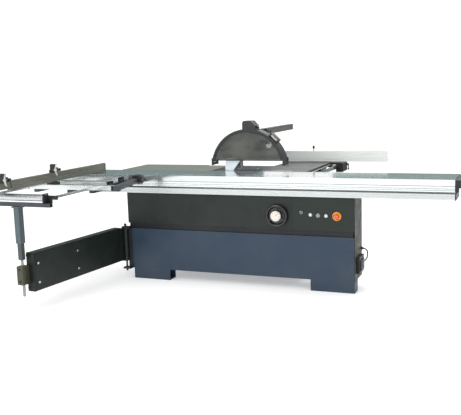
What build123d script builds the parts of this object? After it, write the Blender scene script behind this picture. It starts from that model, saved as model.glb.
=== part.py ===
from build123d import *
import math
import os

os.makedirs("parts", exist_ok=True)

# ----------------------------------------------------------------------------
# Sliding-table panel saw.  Millimetres, +Z up, floor at z = 0.
# +X points to the infeed (operator) end, +Y to the rip-fence side,
# -Y to the crosscut outrigger.  The origin is on the floor midway between the
# anchor holes of the two front feet.
# ----------------------------------------------------------------------------

# ---- driving dimensions -----------------------------------------------------
F = -54.0               # y of the front face of the base cabinet
CAB_X = 951.0           # half length of the front cabinet
CAB_D = 256.0           # depth of the front cabinet
Z_FOOT = 87.0           # foot height
Z_BLUE = 424.0          # top of the lower cabinet
Z_BAND = 468.0          # top of the recessed band
Z_CAB = 720.0           # top of the front cabinet
Z_TABLE = 870.0         # table surface
SEAM_X = 472.0          # seam between fascia and control panel

RC_X0, RC_X1 = -700.0, 470.0      # rear cabinet
RC_Y1 = 850.0                     # back of the rear cabinet, from the front face

SL_X0, SL_X1 = -1494.0, 1657.0    # sliding table and its fixed beam
SL_Y0, SL_Y1 = -26.0, 345.0       # sliding table, from the front face
BLADE_Y = 387.0                   # blade plane, from the front face
BLADE_X = -20.0                   # arbor position along the machine
BLADE_Z = 740.0                   # arbor height at rest
BLADE_R = 175.0                   # saw blade radius
MT_X0, MT_X1 = -560.0, 485.0      # main table
MT_Y0, MT_Y1 = 352.0, 780.0
ST_Y1 = 1250.0                    # far edge of the side table
RAIL_X, RAIL_Z, RAIL_R = 545.0, 832.0, 18.0   # rip-fence rail
HOOD_R = 319.0                    # outer radius of the guard arch
HOOD_ZC = 896.0                   # centre height of the guard arch
HOOD_CX = -10.0
HOOD_HALF = 42.0                  # from the blade to the near side of the guard; the far side stands 66 away, to clear the tilted knife
BOOM_X = -50.0
ANCHOR_X = 765.0                  # front anchor holes: half spacing along x
FOOT_D = 108.0                    # depth of the front feet
ARM_PIV = (-968.0, -28.0)         # swing-arm hinge (x, from the front face)
ARM_REST = 6.2                    # rest direction of the arm, degrees off -Y
ARM_LEN = 1040.0
TW_Y, TW_Z = 516.0, 646.0         # tilt handwheel shaft
TABLE_PT = (387.0, 870.0)         # tilt axis (from the front face, z)


# ---- helpers ----------------------------------------------------------------
def bx(x0, x1, y0, y1, z0, z1):
    return Pos((x0 + x1) / 2, (y0 + y1) / 2 + F, (z0 + z1) / 2) * Box(abs(x1 - x0), abs(y1 - y0), abs(z1 - z0))


def cz(x, y, z0, z1, r):
    return Pos(x, y + F, (z0 + z1) / 2) * Cylinder(r, abs(z1 - z0))


def cy(x, z, y0, y1, r):
    return Pos(x, (y0 + y1) / 2 + F, z) * Rot(90, 0, 0) * Cylinder(r, abs(y1 - y0))


def cx(y, z, x0, x1, r):
    return Pos((x0 + x1) / 2, y + F, z) * Rot(0, 90, 0) * Cylinder(r, abs(x1 - x0))


def prof_x(pts, x0, x1):
    f = make_face(Polyline([(x0, y + F, z) for y, z in pts], close=True))
    return extrude(f, amount=x1 - x0, dir=(1, 0, 0))


def prof_y(pts, y0, y1):
    f = make_face(Polyline([(x, y0 + F, z) for x, z in pts], close=True))
    return extrude(f, amount=y1 - y0, dir=(0, 1, 0))


def prof_z(pts, z0, z1):
    f = make_face(Polyline([(x, y + F, z0) for x, y in pts], close=True))
    return extrude(f, amount=z1 - z0, dir=(0, 0, 1))


def rnd(s, r, axis=None):
    e = s.edges() if axis is None else s.edges().filter_by(axis)
    return fillet(e, r)


NODES = {}


def out(name, *solids):
    """Collect the solids of one node; the files are written at the end."""
    for q in solids:
        NODES.setdefault(name, []).extend(list(q.solids()))


# ----------------------------------------------------------------------------
# 1  feet
# ----------------------------------------------------------------------------
def foot(x0, x1, y0, y1, open_side, hole):
    s = rnd(bx(x0, x1, y0, y1, 0, Z_FOOT), 5, Axis.Z)
    t = 6
    if open_side > 0:
        s -= bx(x0 + t, x1 + 1, y0 + t, y1 - t, 10, Z_FOOT - t)
    else:
        s -= bx(x0 - 1, x1 - t, y0 + t, y1 - t, 10, Z_FOOT - t)
    for hx, hy in hole:
        s -= cz(hx, hy, -1, 12, 7)
    return s


out("feet",
    foot(-918, -585, 0, FOOT_D, 1, [(-ANCHOR_X, -F)]),
    foot(608, CAB_X - 1, 0, FOOT_D, -1, [(ANCHOR_X, -F)]))
out("feet",
    foot(RC_X0, RC_X0 + 150, 700, RC_Y1, 1, [(-660, 775)]),
    foot(RC_X1 - 150, RC_X1, 700, RC_Y1, -1, [(430, 775)]))

# ----------------------------------------------------------------------------
# 2  base cabinet
# ----------------------------------------------------------------------------
W = 3.0
s = rnd(bx(-CAB_X, CAB_X - 3, 0, CAB_D, Z_FOOT, Z_BLUE), 7, Axis.Z)
s -= bx(-CAB_X + W, CAB_X - 3 - W, W, CAB_D - W, Z_FOOT + W, Z_BLUE + 1)
s -= bx(RC_X0 + 8, RC_X1 - 8, CAB_D - 10, CAB_D + 5, Z_FOOT + W, Z_BLUE + 1)
out("lower_cabinet", s)

s = bx(-CAB_X + 9, CAB_X - 12, 9, CAB_D, Z_BLUE, Z_BAND)
s -= bx(-CAB_X + 12, CAB_X - 15, 12, CAB_D - W, Z_BLUE - 1, Z_BAND + 1)
s -= bx(RC_X0 + 8, RC_X1 - 8, CAB_D - 10, CAB_D + 5, Z_BLUE - 1, Z_BAND + 1)
out("upper_cabinet", s)

s = bx(-CAB_X, CAB_X - 3, 3, CAB_D, Z_BAND, Z_CAB)
s -= bx(-CAB_X + W, CAB_X - 6, 6, CAB_D - W, Z_BAND - 1, Z_CAB - W)
s -= bx(-CAB_X + W, CAB_X - 6, 190, CAB_D - W, Z_CAB - 10, Z_CAB + 1)
s -= bx(RC_X0 + 8, RC_X1 - 8, CAB_D - 10, CAB_D + 5, Z_BAND - 1, Z_CAB + 1)
s -= cy(354, 574, 0, 12, 16)
CTRL = [("lamp", 543, 602, 8.0), ("start", 616, 587, 9.0), ("selector", 674, 583, 9.0),
        ("stop", 736, 582, 9.0), ("estop", 818, 581, 12.0)]
s -= bx(500, 860, 0, 12, 530, 630)
out("upper_cabinet", s)

s = bx(-CAB_X, SEAM_X - 1.5, 0, 3, Z_BAND, Z_CAB - 2)
s -= cy(354, 574, -1, 5, 12.5)
out("fascia_panel", s)

s = bx(SEAM_X + 1.5, CAB_X - 3, 0, 3, Z_BAND, Z_CAB - 2)
for n, x, z, r in CTRL:
    s -= cy(x, z, -1, 5, r + 0.05)
out("control_panel", s)

out("side_cover_right", bx(CAB_X - 3, CAB_X, 4, CAB_D - 4, Z_FOOT + 4, Z_CAB - 2))

t = 4.0
s = bx(RC_X0, RC_X1, CAB_D, RC_Y1, Z_FOOT, 717) + bx(RC_X0, RC_X1, 356, RC_Y1, 716, 825)
s -= bx(RC_X0 + t, RC_X1 - t, CAB_D - 1, RC_Y1 - t, Z_FOOT + t, 718)
s -= bx(RC_X0 + t, RC_X1 - t, 360, RC_Y1 - t, 710, 826)
s -= bx(-340, 430, 350, 365, 717.5, 826)
s -= bx(RC_X1 - 6, RC_X1 + 6, 380, 780, 150, 520)          # door opening
s -= cy(-520, 200, RC_Y1 - 10, RC_Y1 + 5, 62)              # dust port opening
s -= cx(TW_Y, TW_Z, RC_X1 - 6, RC_X1 + 6, 12.06)           # tilt shaft
out("rear_cabinet", s)

s = rnd(bx(RC_X1 + 0.5, RC_X1 + 22, 360, 800, 130, 540), 6)
s -= bx(RC_X1 - 1, RC_X1 + 19, 364, 796, 134, 536)
s += bx(RC_X1 + 22, RC_X1 + 40, 400, 412, 290, 390) - bx(RC_X1 + 21, RC_X1 + 34, 399, 413, 302, 378)
s += bx(RC_X1 + 8, RC_X1 + 16, 796, 812, 180, 240) + bx(RC_X1 + 8, RC_X1 + 16, 796, 812, 430, 490)
s += cz(RC_X1 + 12, 812, 180, 240, 8) + cz(RC_X1 + 12, 812, 430, 490, 8)
s -= cz(RC_X1 + 12, 812, 100, 600, 4.05)
out("access_door", s)
hp = []
for z0, z1 in ((180, 240), (430, 490)):
    h = cz(RC_X1 + 12, 812, z0 - 14, z1 + 14, 4)
    for za in (z0 - 14, z1 + 0.5):
        h += bx(RC_X1, RC_X1 + 6, 804, 830, za, za + 13.5) + bx(RC_X1, RC_X1 + 16, 806, 818, za, za + 13.5)
    hp.append(h)
out("rear_cabinet", *hp)

# ----------------------------------------------------------------------------
# 3  electrics on the cabinet
# ----------------------------------------------------------------------------
s = rnd(bx(CAB_X, CAB_X + 24, 60, 214, 138, 262), 4, Axis.Z)
s += bx(CAB_X + 24, CAB_X + 32, 80, 190, 156, 236)
s += cx(232, 300, CAB_X, CAB_X + 8, 9)
s += cy(CAB_X + 12, 196, 214, 222, 9)
inlet = s

cab_pts = [(CAB_X + 8, 232, 300), (CAB_X + 26, 232, 299), (CAB_X + 42, 234, 288), (CAB_X + 48, 237, 266),
           (CAB_X + 46, 240, 240), (CAB_X + 38, 242, 218), (CAB_X + 24, 240, 202), (CAB_X + 12, 222, 196)]
cab_pts = [Vector(x, y + F, z) for x, y, z in cab_pts]


def fillet_radii(pts):
    out_r = []
    for a, b, c in zip(pts, pts[1:], pts[2:]):
        turn = math.radians((b - a).get_angle(c - b))
        run = min((b - a).length, (c - b).length)
        out_r.append(0.45 * run / math.tan(turn / 2))
    return out_r


radii = fillet_radii(cab_pts)
print("inlet cable radii", [round(r, 1) for r in radii])
path = FilletPolyline(*cab_pts, radius=radii)
sec = Plane(origin=cab_pts[0], z_dir=(cab_pts[1] - cab_pts[0])) * Circle(4.5)
cable = sweep(sec, path=path)
print("inlet cable volume ratio", cable.volume / (math.pi * 4.5 ** 2 * path.length), "length", path.length)
out("inlet_cable", cable)
out("power_inlet", inlet - cable)

out("control_panel", cy(543, 602, -3, 8, 8.0) + cy(543, 602, -3, 0, 10.5))
out("start_button", cy(616, 587, -9, 20, 9.0))
out("stop_button", cy(736, 582, -9, 20, 9.0))
s = cy(674, 583, -4, 20, 9.0) + cy(674, 583, -7, -4, 12) + rnd(bx(670, 678, -20, -7, 572, 594), 2.5)
out("selector_knob", s)
s = fillet(cy(818, 581, -34, -18, 20).edges(), 4) + cy(818, 581, -19, 22, 12.0)
out("emergency_stop", s)


def ring_y(x, z, y0, y1, r1, r0):
    return cy(x, z, y0, y1, r1) - cy(x, z, y0 - 1, y1 + 1, r0)


out("control_panel", ring_y(616, 587, -3, 0, 13, 9.1), ring_y(736, 582, -3, 0, 13, 9.1),
    ring_y(674, 583, -3.5, 0, 15, 9.1), ring_y(818, 581, -4, 0, 33, 12.1))

# ----------------------------------------------------------------------------
# 4  handwheels
# ----------------------------------------------------------------------------
def handwheel_y(x, z, y_face):
    rim = Pos(x, y_face + F, z) * Rot(90, 0, 0) * Torus(76, 10)
    hub = cy(x, z, y_face - 6, 0 - 0.5, 22) + cy(x, z, -0.5, 110, 12)
    web = cy(x, z, y_face + 6, y_face + 12, 72)
    for a in (90, 210, 330):
        w = Pos(x + 52 * math.cos(math.radians(a)), y_face + 9 + F, z + 52 * math.sin(math.radians(a))) * Rot(90, 0, 0) * Cylinder(13, 14)
        web -= w
    return rim + hub + web


out("rise_handwheel", handwheel_y(354, 574, -26))
s = fillet(cy(354, 574, -50, -32, 38).edges().sort_by(Axis.Y)[:1], 4)
out("rise_handwheel", s)

hx = RC_X1 + 60
s = Pos(hx, TW_Y + F, TW_Z) * Rot(0, 90, 0) * Torus(72, 9)
s += cx(TW_Y, TW_Z, hx - 4, hx + 2, 70) + cx(TW_Y, TW_Z, RC_X1 + 1, hx + 10, 20) + cx(TW_Y, TW_Z, 428, RC_X1 + 2, 12)
s += cx(TW_Y, TW_Z, 428, 446, 19.7)
s += cx(TW_Y + 45, TW_Z + 40, hx, hx + 46, 8)
out("tilt_handwheel", s)

# ----------------------------------------------------------------------------
# 5  sliding table
# ----------------------------------------------------------------------------
Z_BT = 768.0     # top of the fixed beam
Z_SB = 782.0     # underside of the sliding table
beam = [(-22, 725), (-22, Z_BT), (32, Z_BT), (32, 790), (48, 790), (48, Z_BT), (152, Z_BT), (152, 790), (168, 790),
        (168, Z_BT), (214, Z_BT), (214, 725)]
s = prof_x(beam, SL_X0, SL_X1)
for y0, y1 in ((-16, 26), (34, 96), (104, 166), (174, 208)):
    s -= prof_x([(y0, 731), (y0, 762), (y1, 762), (y1, 731)], SL_X0 - 1, SL_X1 + 1)
for z in (740.0, 754.0):
    s -= prof_x([(-23, z - 1), (-21, z - 1), (-21, z + 1), (-23, z + 1)], SL_X0 - 1, SL_X1 + 1)
s -= cx(40, 796, SL_X0 - 1, SL_X1 + 1, 8) + cx(160, 796, SL_X0 - 1, SL_X1 + 1, 8)
out("fixed_beam", s)
out("support_brackets", *[bx(x - 60, x + 60, 10, 180, Z_CAB, 725) for x in (-850, -300, 300, 850)])
out("fixed_beam", cx(40, 796, SL_X0 + 2, SL_X1 - 2, 8), cx(160, 796, SL_X0 + 2, SL_X1 - 2, 8))

prof = [(SL_Y0, Z_SB), (SL_Y0, Z_TABLE), (SL_Y1, Z_TABLE), (SL_Y1, 860), (267, Z_SB), (190, Z_SB), (190, 848),
        (10, 848), (10, Z_SB)]
s = prof_x(prof, SL_X0, SL_X1)
s -= prof_x([(-20, 788), (-20, 848), (4, 848), (4, 788)], SL_X0 - 1, SL_X1 + 1)
s -= prof_x([(196, 788), (196, 862), (322, 862), (322, 852), (258, 788)], SL_X0 - 1, SL_X1 + 1)
s -= prof_x([(54, 862), (54, 871), (66, 871), (66, 862)], SL_X0 - 1, SL_X1 + 1)
s -= prof_x([(49, 854), (49, 862.5), (71, 862.5), (71, 854)], SL_X0 - 1, SL_X1 + 1)
for z, w in ((824.0, 3.0), (805.0, 2.0), (793.0, 2.0)):
    s -= prof_x([(-27, z - w / 2), (-24, z - w / 2), (-24, z + w / 2), (-27, z + w / 2)], SL_X0 - 1, SL_X1 + 1)
s -= cx(40, 848, SL_X0 - 1, SL_X1 + 1, 4) + cx(160, 848, SL_X0 - 1, SL_X1 + 1, 4)
out("sliding_table", s)
out("sliding_table", cx(40, 840, SL_X0 + 2, SL_X1 - 2, 8) - bx(SL_X0, SL_X1, 20, 60, 848, 860),
    cx(160, 840, SL_X0 + 2, SL_X1 - 2, 8) - bx(SL_X0, SL_X1, 140, 180, 848, 860))

# cage with rollers between the lower and upper rods (rod gap 804..832)
CG0, CG1 = -420.0, 580.0
s = bx(CG0, CG1, 56, 144, 815, 821)
rollers = []
for i in range(5):
    x = CG0 + 60 + i * 220
    s += bx(x - 20, x - 15.5, 26, 58, 813, 823) + bx(x + 15.5, x + 20, 26, 58, 813, 823)
    s += bx(x - 20, x - 15.5, 142, 174, 813, 823) + bx(x + 15.5, x + 20, 142, 174, 813, 823)
    rollers += [cy(x, 818, 30, 54, 13.95), cy(x, 818, 146, 170, 13.95)]
out("roller_cage", s)
out("roller_cage", *rollers)

capR = rnd(prof_x([(SL_Y0 - 6, 812), (SL_Y0 - 6, Z_TABLE - 2), (SL_Y1 - 2, Z_TABLE - 2), (SL_Y1 - 2, 858), (298, 812)], SL_X1, SL_X1 + 40), 5, Axis.X)
capR += prof_x([(SL_Y0 - 2, Z_SB), (SL_Y0 - 2, 814), (300, 814), (268, Z_SB)], SL_X1, SL_X1 + 26)
capL = prof_x([(SL_Y0 - 1, Z_SB), (SL_Y0 - 1, Z_TABLE - 1), (SL_Y1 - 2, Z_TABLE - 1), (SL_Y1 - 2, 858), (267, Z_SB)], SL_X0 - 14, SL_X0)
# both caps are open where the table passes over the beam's rods
capR -= bx(SL_X1 - 1, SL_X1 + 60, 9, 191, 770, 846)
capL -= bx(SL_X0 - 60, SL_X0 + 1, 9, 191, 770, 846)
out("table_end_caps", capR, capL)
out("support_brackets", bx(SL_X1, SL_X1 + 8, -24, 216, 723, Z_BT), bx(SL_X0 - 8, SL_X0, -24, 216, 723, Z_BT))

# ----------------------------------------------------------------------------
# 6  fixed tables
# ----------------------------------------------------------------------------
s = bx(MT_X0, MT_X1, MT_Y0, MT_Y1, 825, Z_TABLE)
s -= bx(MT_X0 + 14, -354, MT_Y0 + 14, MT_Y1 - 14, 824, 856)
s -= bx(442, MT_X1 - 14, MT_Y0 + 14, MT_Y1 - 14, 824, 856)
s -= bx(-340, 428, MT_Y0 + 14, MT_Y1 - 14, 824, 858)
s -= bx(-300, 360, MT_Y0 - 1, 432, 824, 871)
s += bx(-300, -290, MT_Y0 + 1, 432, 845, 865) + bx(350, 360, MT_Y0 + 1, 432, 845, 865)
out("main_table", chamfer(s.edges().filter_by(Axis.Z).group_by(Axis.X)[0], 3))

s = bx(-299.7, 359.7, MT_Y0 + 0.5, 431.5, 865, Z_TABLE)
s -= bx(-262, 200, 376, 393, 860, 875)
s -= bx(212, 330, 380, 392, 860, 875)
out("table_insert", s)

s = bx(-1197, MT_X0 - 3, MT_Y0, 823, 838, Z_TABLE)
s -= bx(-1193, MT_X0 - 7, MT_Y0 + 4, 819, 837, 866)
out("extension_tables", s)
s = bx(75, MT_X1, 783, ST_Y1, 838, Z_TABLE)
s -= bx(79, MT_X1 - 4, 787, ST_Y1 - 4, 837, 866)
out("extension_tables", s)

# rails and gussets that carry the two extension tables and the fence rail
br = [prof_y([(-1180, 826), (-1180, 838), (-700, 838), (-700, 560), (-716, 560)], 500, 508),
      prof_y([(-1180, 826), (-1180, 838), (-700, 838), (-700, 560), (-716, 560)], 760, 768),
      prof_x([(1230, 826), (1230, 838), (RC_Y1, 838), (RC_Y1, 560), (866, 560)], 140, 148),
      prof_x([(1230, 826), (1230, 838), (RC_Y1, 838), (RC_Y1, 560), (866, 560)], 420, 428)]
for y in (400, 740, 1060):
    b = bx(MT_X1, RAIL_X - 2, y - 14, y + 14, RAIL_Z + 2, RAIL_Z + 18)
    b += bx(RAIL_X - RAIL_R - 10, RAIL_X - 2, y - 14, y + 14, RAIL_Z - 14, RAIL_Z + 18)
    br.append(b - cy(RAIL_X, RAIL_Z, y - 20, y + 20, RAIL_R))
out("support_brackets", *br)
out("fence_rail", chamfer(cy(RAIL_X, RAIL_Z, 372, 1400, RAIL_R).edges().filter_by(GeomType.CIRCLE), 2))

# ----------------------------------------------------------------------------
# 7  rip fence
# ----------------------------------------------------------------------------
RY = 1173.0      # working face of the rip fence, from the front face
s = bx(RAIL_X + 1, 604, 1086, 1262, 788, 866) + bx(496, 604, 1086, 1262, 853, 866)
s -= cy(RAIL_X, RAIL_Z, 1080, 1270, RAIL_R + 0.06)
for y in range(1104, 1260, 24):
    s += bx(604, 609, y - 5, y + 5, 794, 862)
s += bx(240, 600, RY + 26, RY + 74, 874, 906) + bx(496, 604, RY - 87, RY + 89, 864, 872.7) + bx(496, 604, RY + 26, RY + 89, 872, 906)
s -= bx(260, 484, RY + 32, RY + 68, 873, 900)
s += bx(280, 338, RY + 22, RY + 60, 874, 952)
out("rip_carriage", s)

FX0, FX1 = 25.0, 983.0
s = bx(FX0, FX1, RY, RY + 22, 873, 967)
for z0, z1 in ((877, 905), (909, 931), (935, 963)):
    s -= bx(FX0 - 1, FX1 + 1, RY + 3, RY + 14, z0, z1)
s -= bx(FX0 - 1, FX1 + 1, RY + 17, RY + 23, 914, 924)
out("rip_fence", s)
s = cz(309, RY + 41, 952, 968, 9) + cz(309, RY + 41, 966, 996, 3.5) + Pos(309, RY + 41 + F, 1003) * Sphere(11.5)
out("fence_clamp_lever", s)

s = cx(1248, 842, 609, 625, 9) + prof_x([(1243, 842), (1253, 842), (1251, 806), (1245, 806)], 617, 625)
s += Pos(621, 1248 + F, 800) * Sphere(8.5)
out("rail_lock_lever", s)

# ----------------------------------------------------------------------------
# 8  overhead guard
# ----------------------------------------------------------------------------
POST_X = -315.0
s = bx(POST_X - 35, POST_X + 35, 872, 952, 180, 1124) + bx(POST_X + 34, BOOM_X + 34, 877, 947, 1050, 1124)
s -= bx(POST_X - 30, POST_X + 30, 877, 947, 185, 1119) + bx(POST_X + 25, BOOM_X + 29, 882, 942, 1055, 1119)
s += bx(BOOM_X - 34, BOOM_X + 34, 862, 962, 1120, 1188) - bx(BOOM_X - 20.2, BOOM_X + 20.2, 860, 964, 1136.8, 1200)
for z0 in (240, 660):
    s += bx(POST_X - 90, POST_X + 90, RC_Y1, 872, z0, z0 + 120)
out("guard_post", s)
s = bx(BOOM_X - 20, BOOM_X + 20, 480, 1688, 1137, 1191)
s -= bx(BOOM_X - 16.5, BOOM_X + 16.5, 484, 1685, 1140.5, 1187.5)
out("boom", s)
HY1 = BLADE_Y + 66.0
# upright guide at the boom's front end, on which the guard is raised
s = bx(BOOM_X - 45, BOOM_X + 45, HY1 + 14, 480, 1010, 1204)
s += bx(BOOM_X - 20, BOOM_X + 20, HY1 + 9, HY1 + 14, 1010, 1204)
out("boom", s)


def arch(r, y0, y1, zc=HOOD_ZC):
    return cy(HOOD_CX, zc, y0, y1, r)


HY0 = BLADE_Y - HOOD_HALF
Z_HB = 956.0
below = bx(-500, 500, HY0 - 50, HY1 + 50, 300, Z_HB)
rim = arch(HOOD_R, HY0, HY1) - arch(HOOD_R - 4, HY0 - 1, HY1 + 1) - bx(-500, 500, HY0 - 50, HY1 + 50, 300, 925)
flange_n = arch(HOOD_R - 3, HY0, HY0 + 4) - arch(HOOD_R - 21, HY0 - 1, HY0 + 5) - below
flange_f = arch(HOOD_R - 3, HY1 - 4, HY1) - arch(HOOD_R - 21, HY1 - 5, HY1 + 1) - below
s = rim + flange_n + flange_f
# lower frame rails along the window edges
s += (arch(HOOD_R - 2, HY0, HY0 + 4) & bx(-500, 500, HY0 - 1, HY0 + 5, Z_HB, Z_HB + 8))
s += (arch(HOOD_R - 2, HY1 - 4, HY1) & bx(-500, 500, HY1 - 5, HY1 + 1, Z_HB, Z_HB + 8))
# legs, bored for the roller pins
for sx in (-1, 1):
    xo = HOOD_CX + sx * (HOOD_R - 9)
    for ya, yb, yc in ((HY0, HY0 + 6, HY0 + 4), (HY1, HY1 - 6, HY1 - 4)):
        s += bx(xo - 9, xo + 9, ya, yb, 918, Z_HB) + bx(xo - 9, xo + 9, ya, yc, 918, Z_HB + 20)
    s -= cy(xo, 930, HY0 - 5, HY1 + 5, 4.05)
    s -= cy(xo, 930, HY0 + 6, HY1 - 6, 13)
# top block, chamfered, open underneath only for its fixings
BLK = [(-49, 1190), (-49, 1262), (-40, 1280), (24, 1280), (62, 1240), (66, 1190)]
blk = prof_y(BLK, HY0 + 4, HY1 - 4)
s += blk - arch(HOOD_R - 1, HY0 - 5, HY1 + 5)
# slider that rides on the upright guide
s += bx(BOOM_X - 40, BOOM_X + 40, HY1, HY1 + 13.8, 1030, 1170) - bx(BOOM_X - 20.05, BOOM_X + 20.05, HY1 + 8.8, HY1 + 15, 1000, 1250)
# dust outlet spigot on the far side
s -= cy(130, 1080, HY1 - 4, HY1 + 1, 41)
s += cy(130, 1080, HY1 - 4, HY1 + 2, 41) + cy(130, 1080, HY1 + 2, HY1 + 62, 40) - cy(130, 1080, HY1 - 6, HY1 + 63, 37)
out("guard_hood", s)

def pane(y0, y1, hole=None):
    p = arch(HOOD_R - 5, y0, y1) & bx(-500, 500, y0 - 1, y1 + 1, Z_HB + 1, 1300)
    return p if hole is None else p - hole
out("guard_windows", pane(HY0 + 4, HY0 + 8), pane(HY1 - 8, HY1 - 4, cy(130, 1080, HY1 - 10, HY1, 41)))
# grab handle on the right shoulder
def shoulder(a, r):
    return (HOOD_CX + r * math.sin(math.radians(a)), HOOD_ZC + r * math.cos(math.radians(a)))
ang = 43
hc = shoulder(ang, HOOD_R)
s = Pos(hc[0], BLADE_Y + F, hc[1]) * Rot(0, ang, 0) * (
    (Box(88, 60, 32, align=(Align.CENTER, Align.CENTER, Align.MIN)) - Pos(0, 0, -1) * Box(72, 70, 27, align=(Align.CENTER, Align.CENTER, Align.MIN))))
s -= arch(HOOD_R, HY0 - 30, HY1 + 30)
out("guard_handle", s)
s = Pos(hc[0], BLADE_Y + F, hc[1]) * Rot(0, ang, 0) * Pos(0, 0, 14) * fillet(Box(71.6, 46, 22).edges().filter_by(Axis.X), 8)
s -= arch(HOOD_R + 1, HY0 - 30, HY1 + 30)
out("guard_handle", s)
s = Pos(66, BLADE_Y + F, 1222) * Rot(0, 45, 0) * (Pos(0, 0, -2) * Cylinder(5, 14) + Pos(0, 0, 12) * Cylinder(14, 14))
s -= prof_y(BLK, HY0, HY1)
out("guard_handle", s)
for sx, nm in ((-1, "guard_roller_left"), (1, "guard_roller_right")):
    xo = HOOD_CX + sx * (HOOD_R - 9)
    out(nm, cy(xo, 930, HY0 + 7, HY1 - 7, 11) + cy(xo, 930, HY0 + 0.5, HY1 - 0.5, 4))

# ----------------------------------------------------------------------------
# 9  crosscut outrigger, carried by the sliding table
# ----------------------------------------------------------------------------
OX0 = -1500.0
ZF = 862.0          # top of the outrigger's bars


def hollow_bar_x(x0, x1, y0, y1, z0, z1, t=3.0):
    b = bx(x0, x1, y0, y1, z0, z1) - bx(x0 - 1, x1 + 1, y0 + t, y1 - t, z0 + t, z1 - t)
    for yy in (y0 + (y1 - y0) / 3, y0 + 2 * (y1 - y0) / 3):
        b -= bx(x0 - 1, x1 + 1, yy - 1, yy + 1, z1 - 1.2, z1 + 1)
    return b


out("outrigger_bars", hollow_bar_x(OX0, -940, -150, -75, ZF - 40, ZF))
out("outrigger_bars", hollow_bar_x(OX0, -880, -420, -345, ZF - 40, ZF))
out("outrigger_bars", hollow_bar_x(OX0, -758, -560, -500, 815, 850))
rails = [bx(OX0, OX0 + 36, -499, -27, 782, 821.5), bx(-1190, -1150, -499, -27, 782, 821.5), bx(-990, -954, -499, -27, 782, 821.5)]
er = prof_z([(-850, -27), (-812, -27), (-704, -562), (-742, -562)], 812, 850)
rails.append(er)
rails.append(bx(-954, -838, -128, -98, 786, 811.5) + bx(-954, -880, -128, -98, 811, 821.5))
rails.append(bx(-954, -790, -398, -368, 786, 811.5) + bx(-954, -880, -398, -368, 811, 821.5))
out("outrigger_rails", *rails)
out("outrigger_fittings", bx(-940, -928, -151, -74, ZF - 40, ZF + 0.5), bx(-880, -868, -421, -344, ZF - 40, ZF + 0.5),
    bx(OX0 - 10, OX0, -151, -74, ZF - 40, ZF + 0.5), bx(OX0 - 10, OX0, -421, -344, ZF - 40, ZF + 0.5),
    bx(OX0 - 10, OX0, -562, -498, 813, 852))
# two clamps that hold the frame to the sliding table, low enough for the fence to swing over
b = bx(-856, -794, -75, SL_Y0, 851, 871.5) + bx(-856, -812, SL_Y0 - 1, 24, Z_TABLE, 871.5)
b += bx(-800, -794, -75, -40, 814, 851.5) + cx(-58, 831, -794, -784, 6) + cx(-58, 831, -784, -762, 17)
out("outrigger_fittings", b)
b = bx(-1442, -1398, -75, SL_Y0, 851, 871.5) + bx(-1442, -1398, SL_Y0 - 1, 24, Z_TABLE, 871.5)
b += cz(-1420, -50, 832, 852, 6) + cz(-1420, -50, 810, 834, 17)
out("outrigger_fittings", b)

# outer extension: two slats, a cross tube, two brackets and the loading roller
RYC, RZC, RR = -1115.0, 836.0, 25.0
out("outrigger_bars", bx(-880, -864, -1086, -560.5, 834, 850), bx(-1440, -1424, -1086, -560.5, 834, 850))
bk = []
for x0, x1 in ((-948, -900), (-1488, -1440)):
    b = bx(x0, x1, -1144, -1086, 797, 866)
    bk.append(b)
bkR = bx(-948, -936, -1144, -1086, 797, 866) + bx(-948, -860, -1098, -1086, 822, 850)
bkR += bx(-936, -905, -1098, -1086, 797, 850)
bkR -= cx(RYC, RZC, -960, -900, 8.05)
bkL = bx(-1488, -1476, -1144, -1086, 797, 866) + bx(-1488, -1420, -1098, -1086, 822, 850)
bkL -= cx(RYC, RZC, -1500, -1400, 8.05)
# the bracket arms pass behind the roller
bkR -= cx(RYC, RZC, -1475, -949, RR + 1)
bkL -= cx(RYC, RZC, -1475, -949, RR + 1)
out("outrigger_fittings", bkR, bkL)
out("outrigger_rails", bx(-1494, -906, -1120, -1088, 770, 797) - bx(-1495, -905, -1117, -1091, 773, 794))
out("loading_roller", cx(RYC, RZC, -1474, -950, RR) + cx(RYC, RZC, -1487, -937, 8))

# ----------------------------------------------------------------------------
# 10  crosscut fence with its extension and flip stops
# ----------------------------------------------------------------------------
FNX = -1270.0                 # working face
FNP = (-1290.0, -530.0)       # swivel pin
s = bx(FNX - 60, FNX + 20, -560, -500, 850, 871) + cz(FNP[0], FNP[1], 870, 884, 8)
out("outrigger_fittings", s)
s = bx(FNX - 40, FNX, -1050, 200, 873, 942)
s -= bx(FNX - 36, FNX - 4, -1051, 201, 886, 936)
s -= bx(FNX - 23, FNX - 17, -1051, 201, 935, 943)
s -= bx(FNX - 1.2, FNX + 1, -1051, 201, 902, 905) + bx(FNX - 1.2, FNX + 1, -1051, 201, 922, 924)
s -= cz(FNP[0], FNP[1], 860, 888, 8.06)
out("crosscut_fence", s)
out("crosscut_fence", bx(FNX - 42, FNX + 2, 200, 206, 871.5, 944))
s = bx(FNX - 34, FNX - 6, -1400, -300, 888, 934) - bx(FNX - 30, FNX - 10, -1401, -299, 892, 930)
s -= bx(FNX - 23, FNX - 17, -1401, -299, 929, 935)
out("fence_extension", s)


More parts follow.
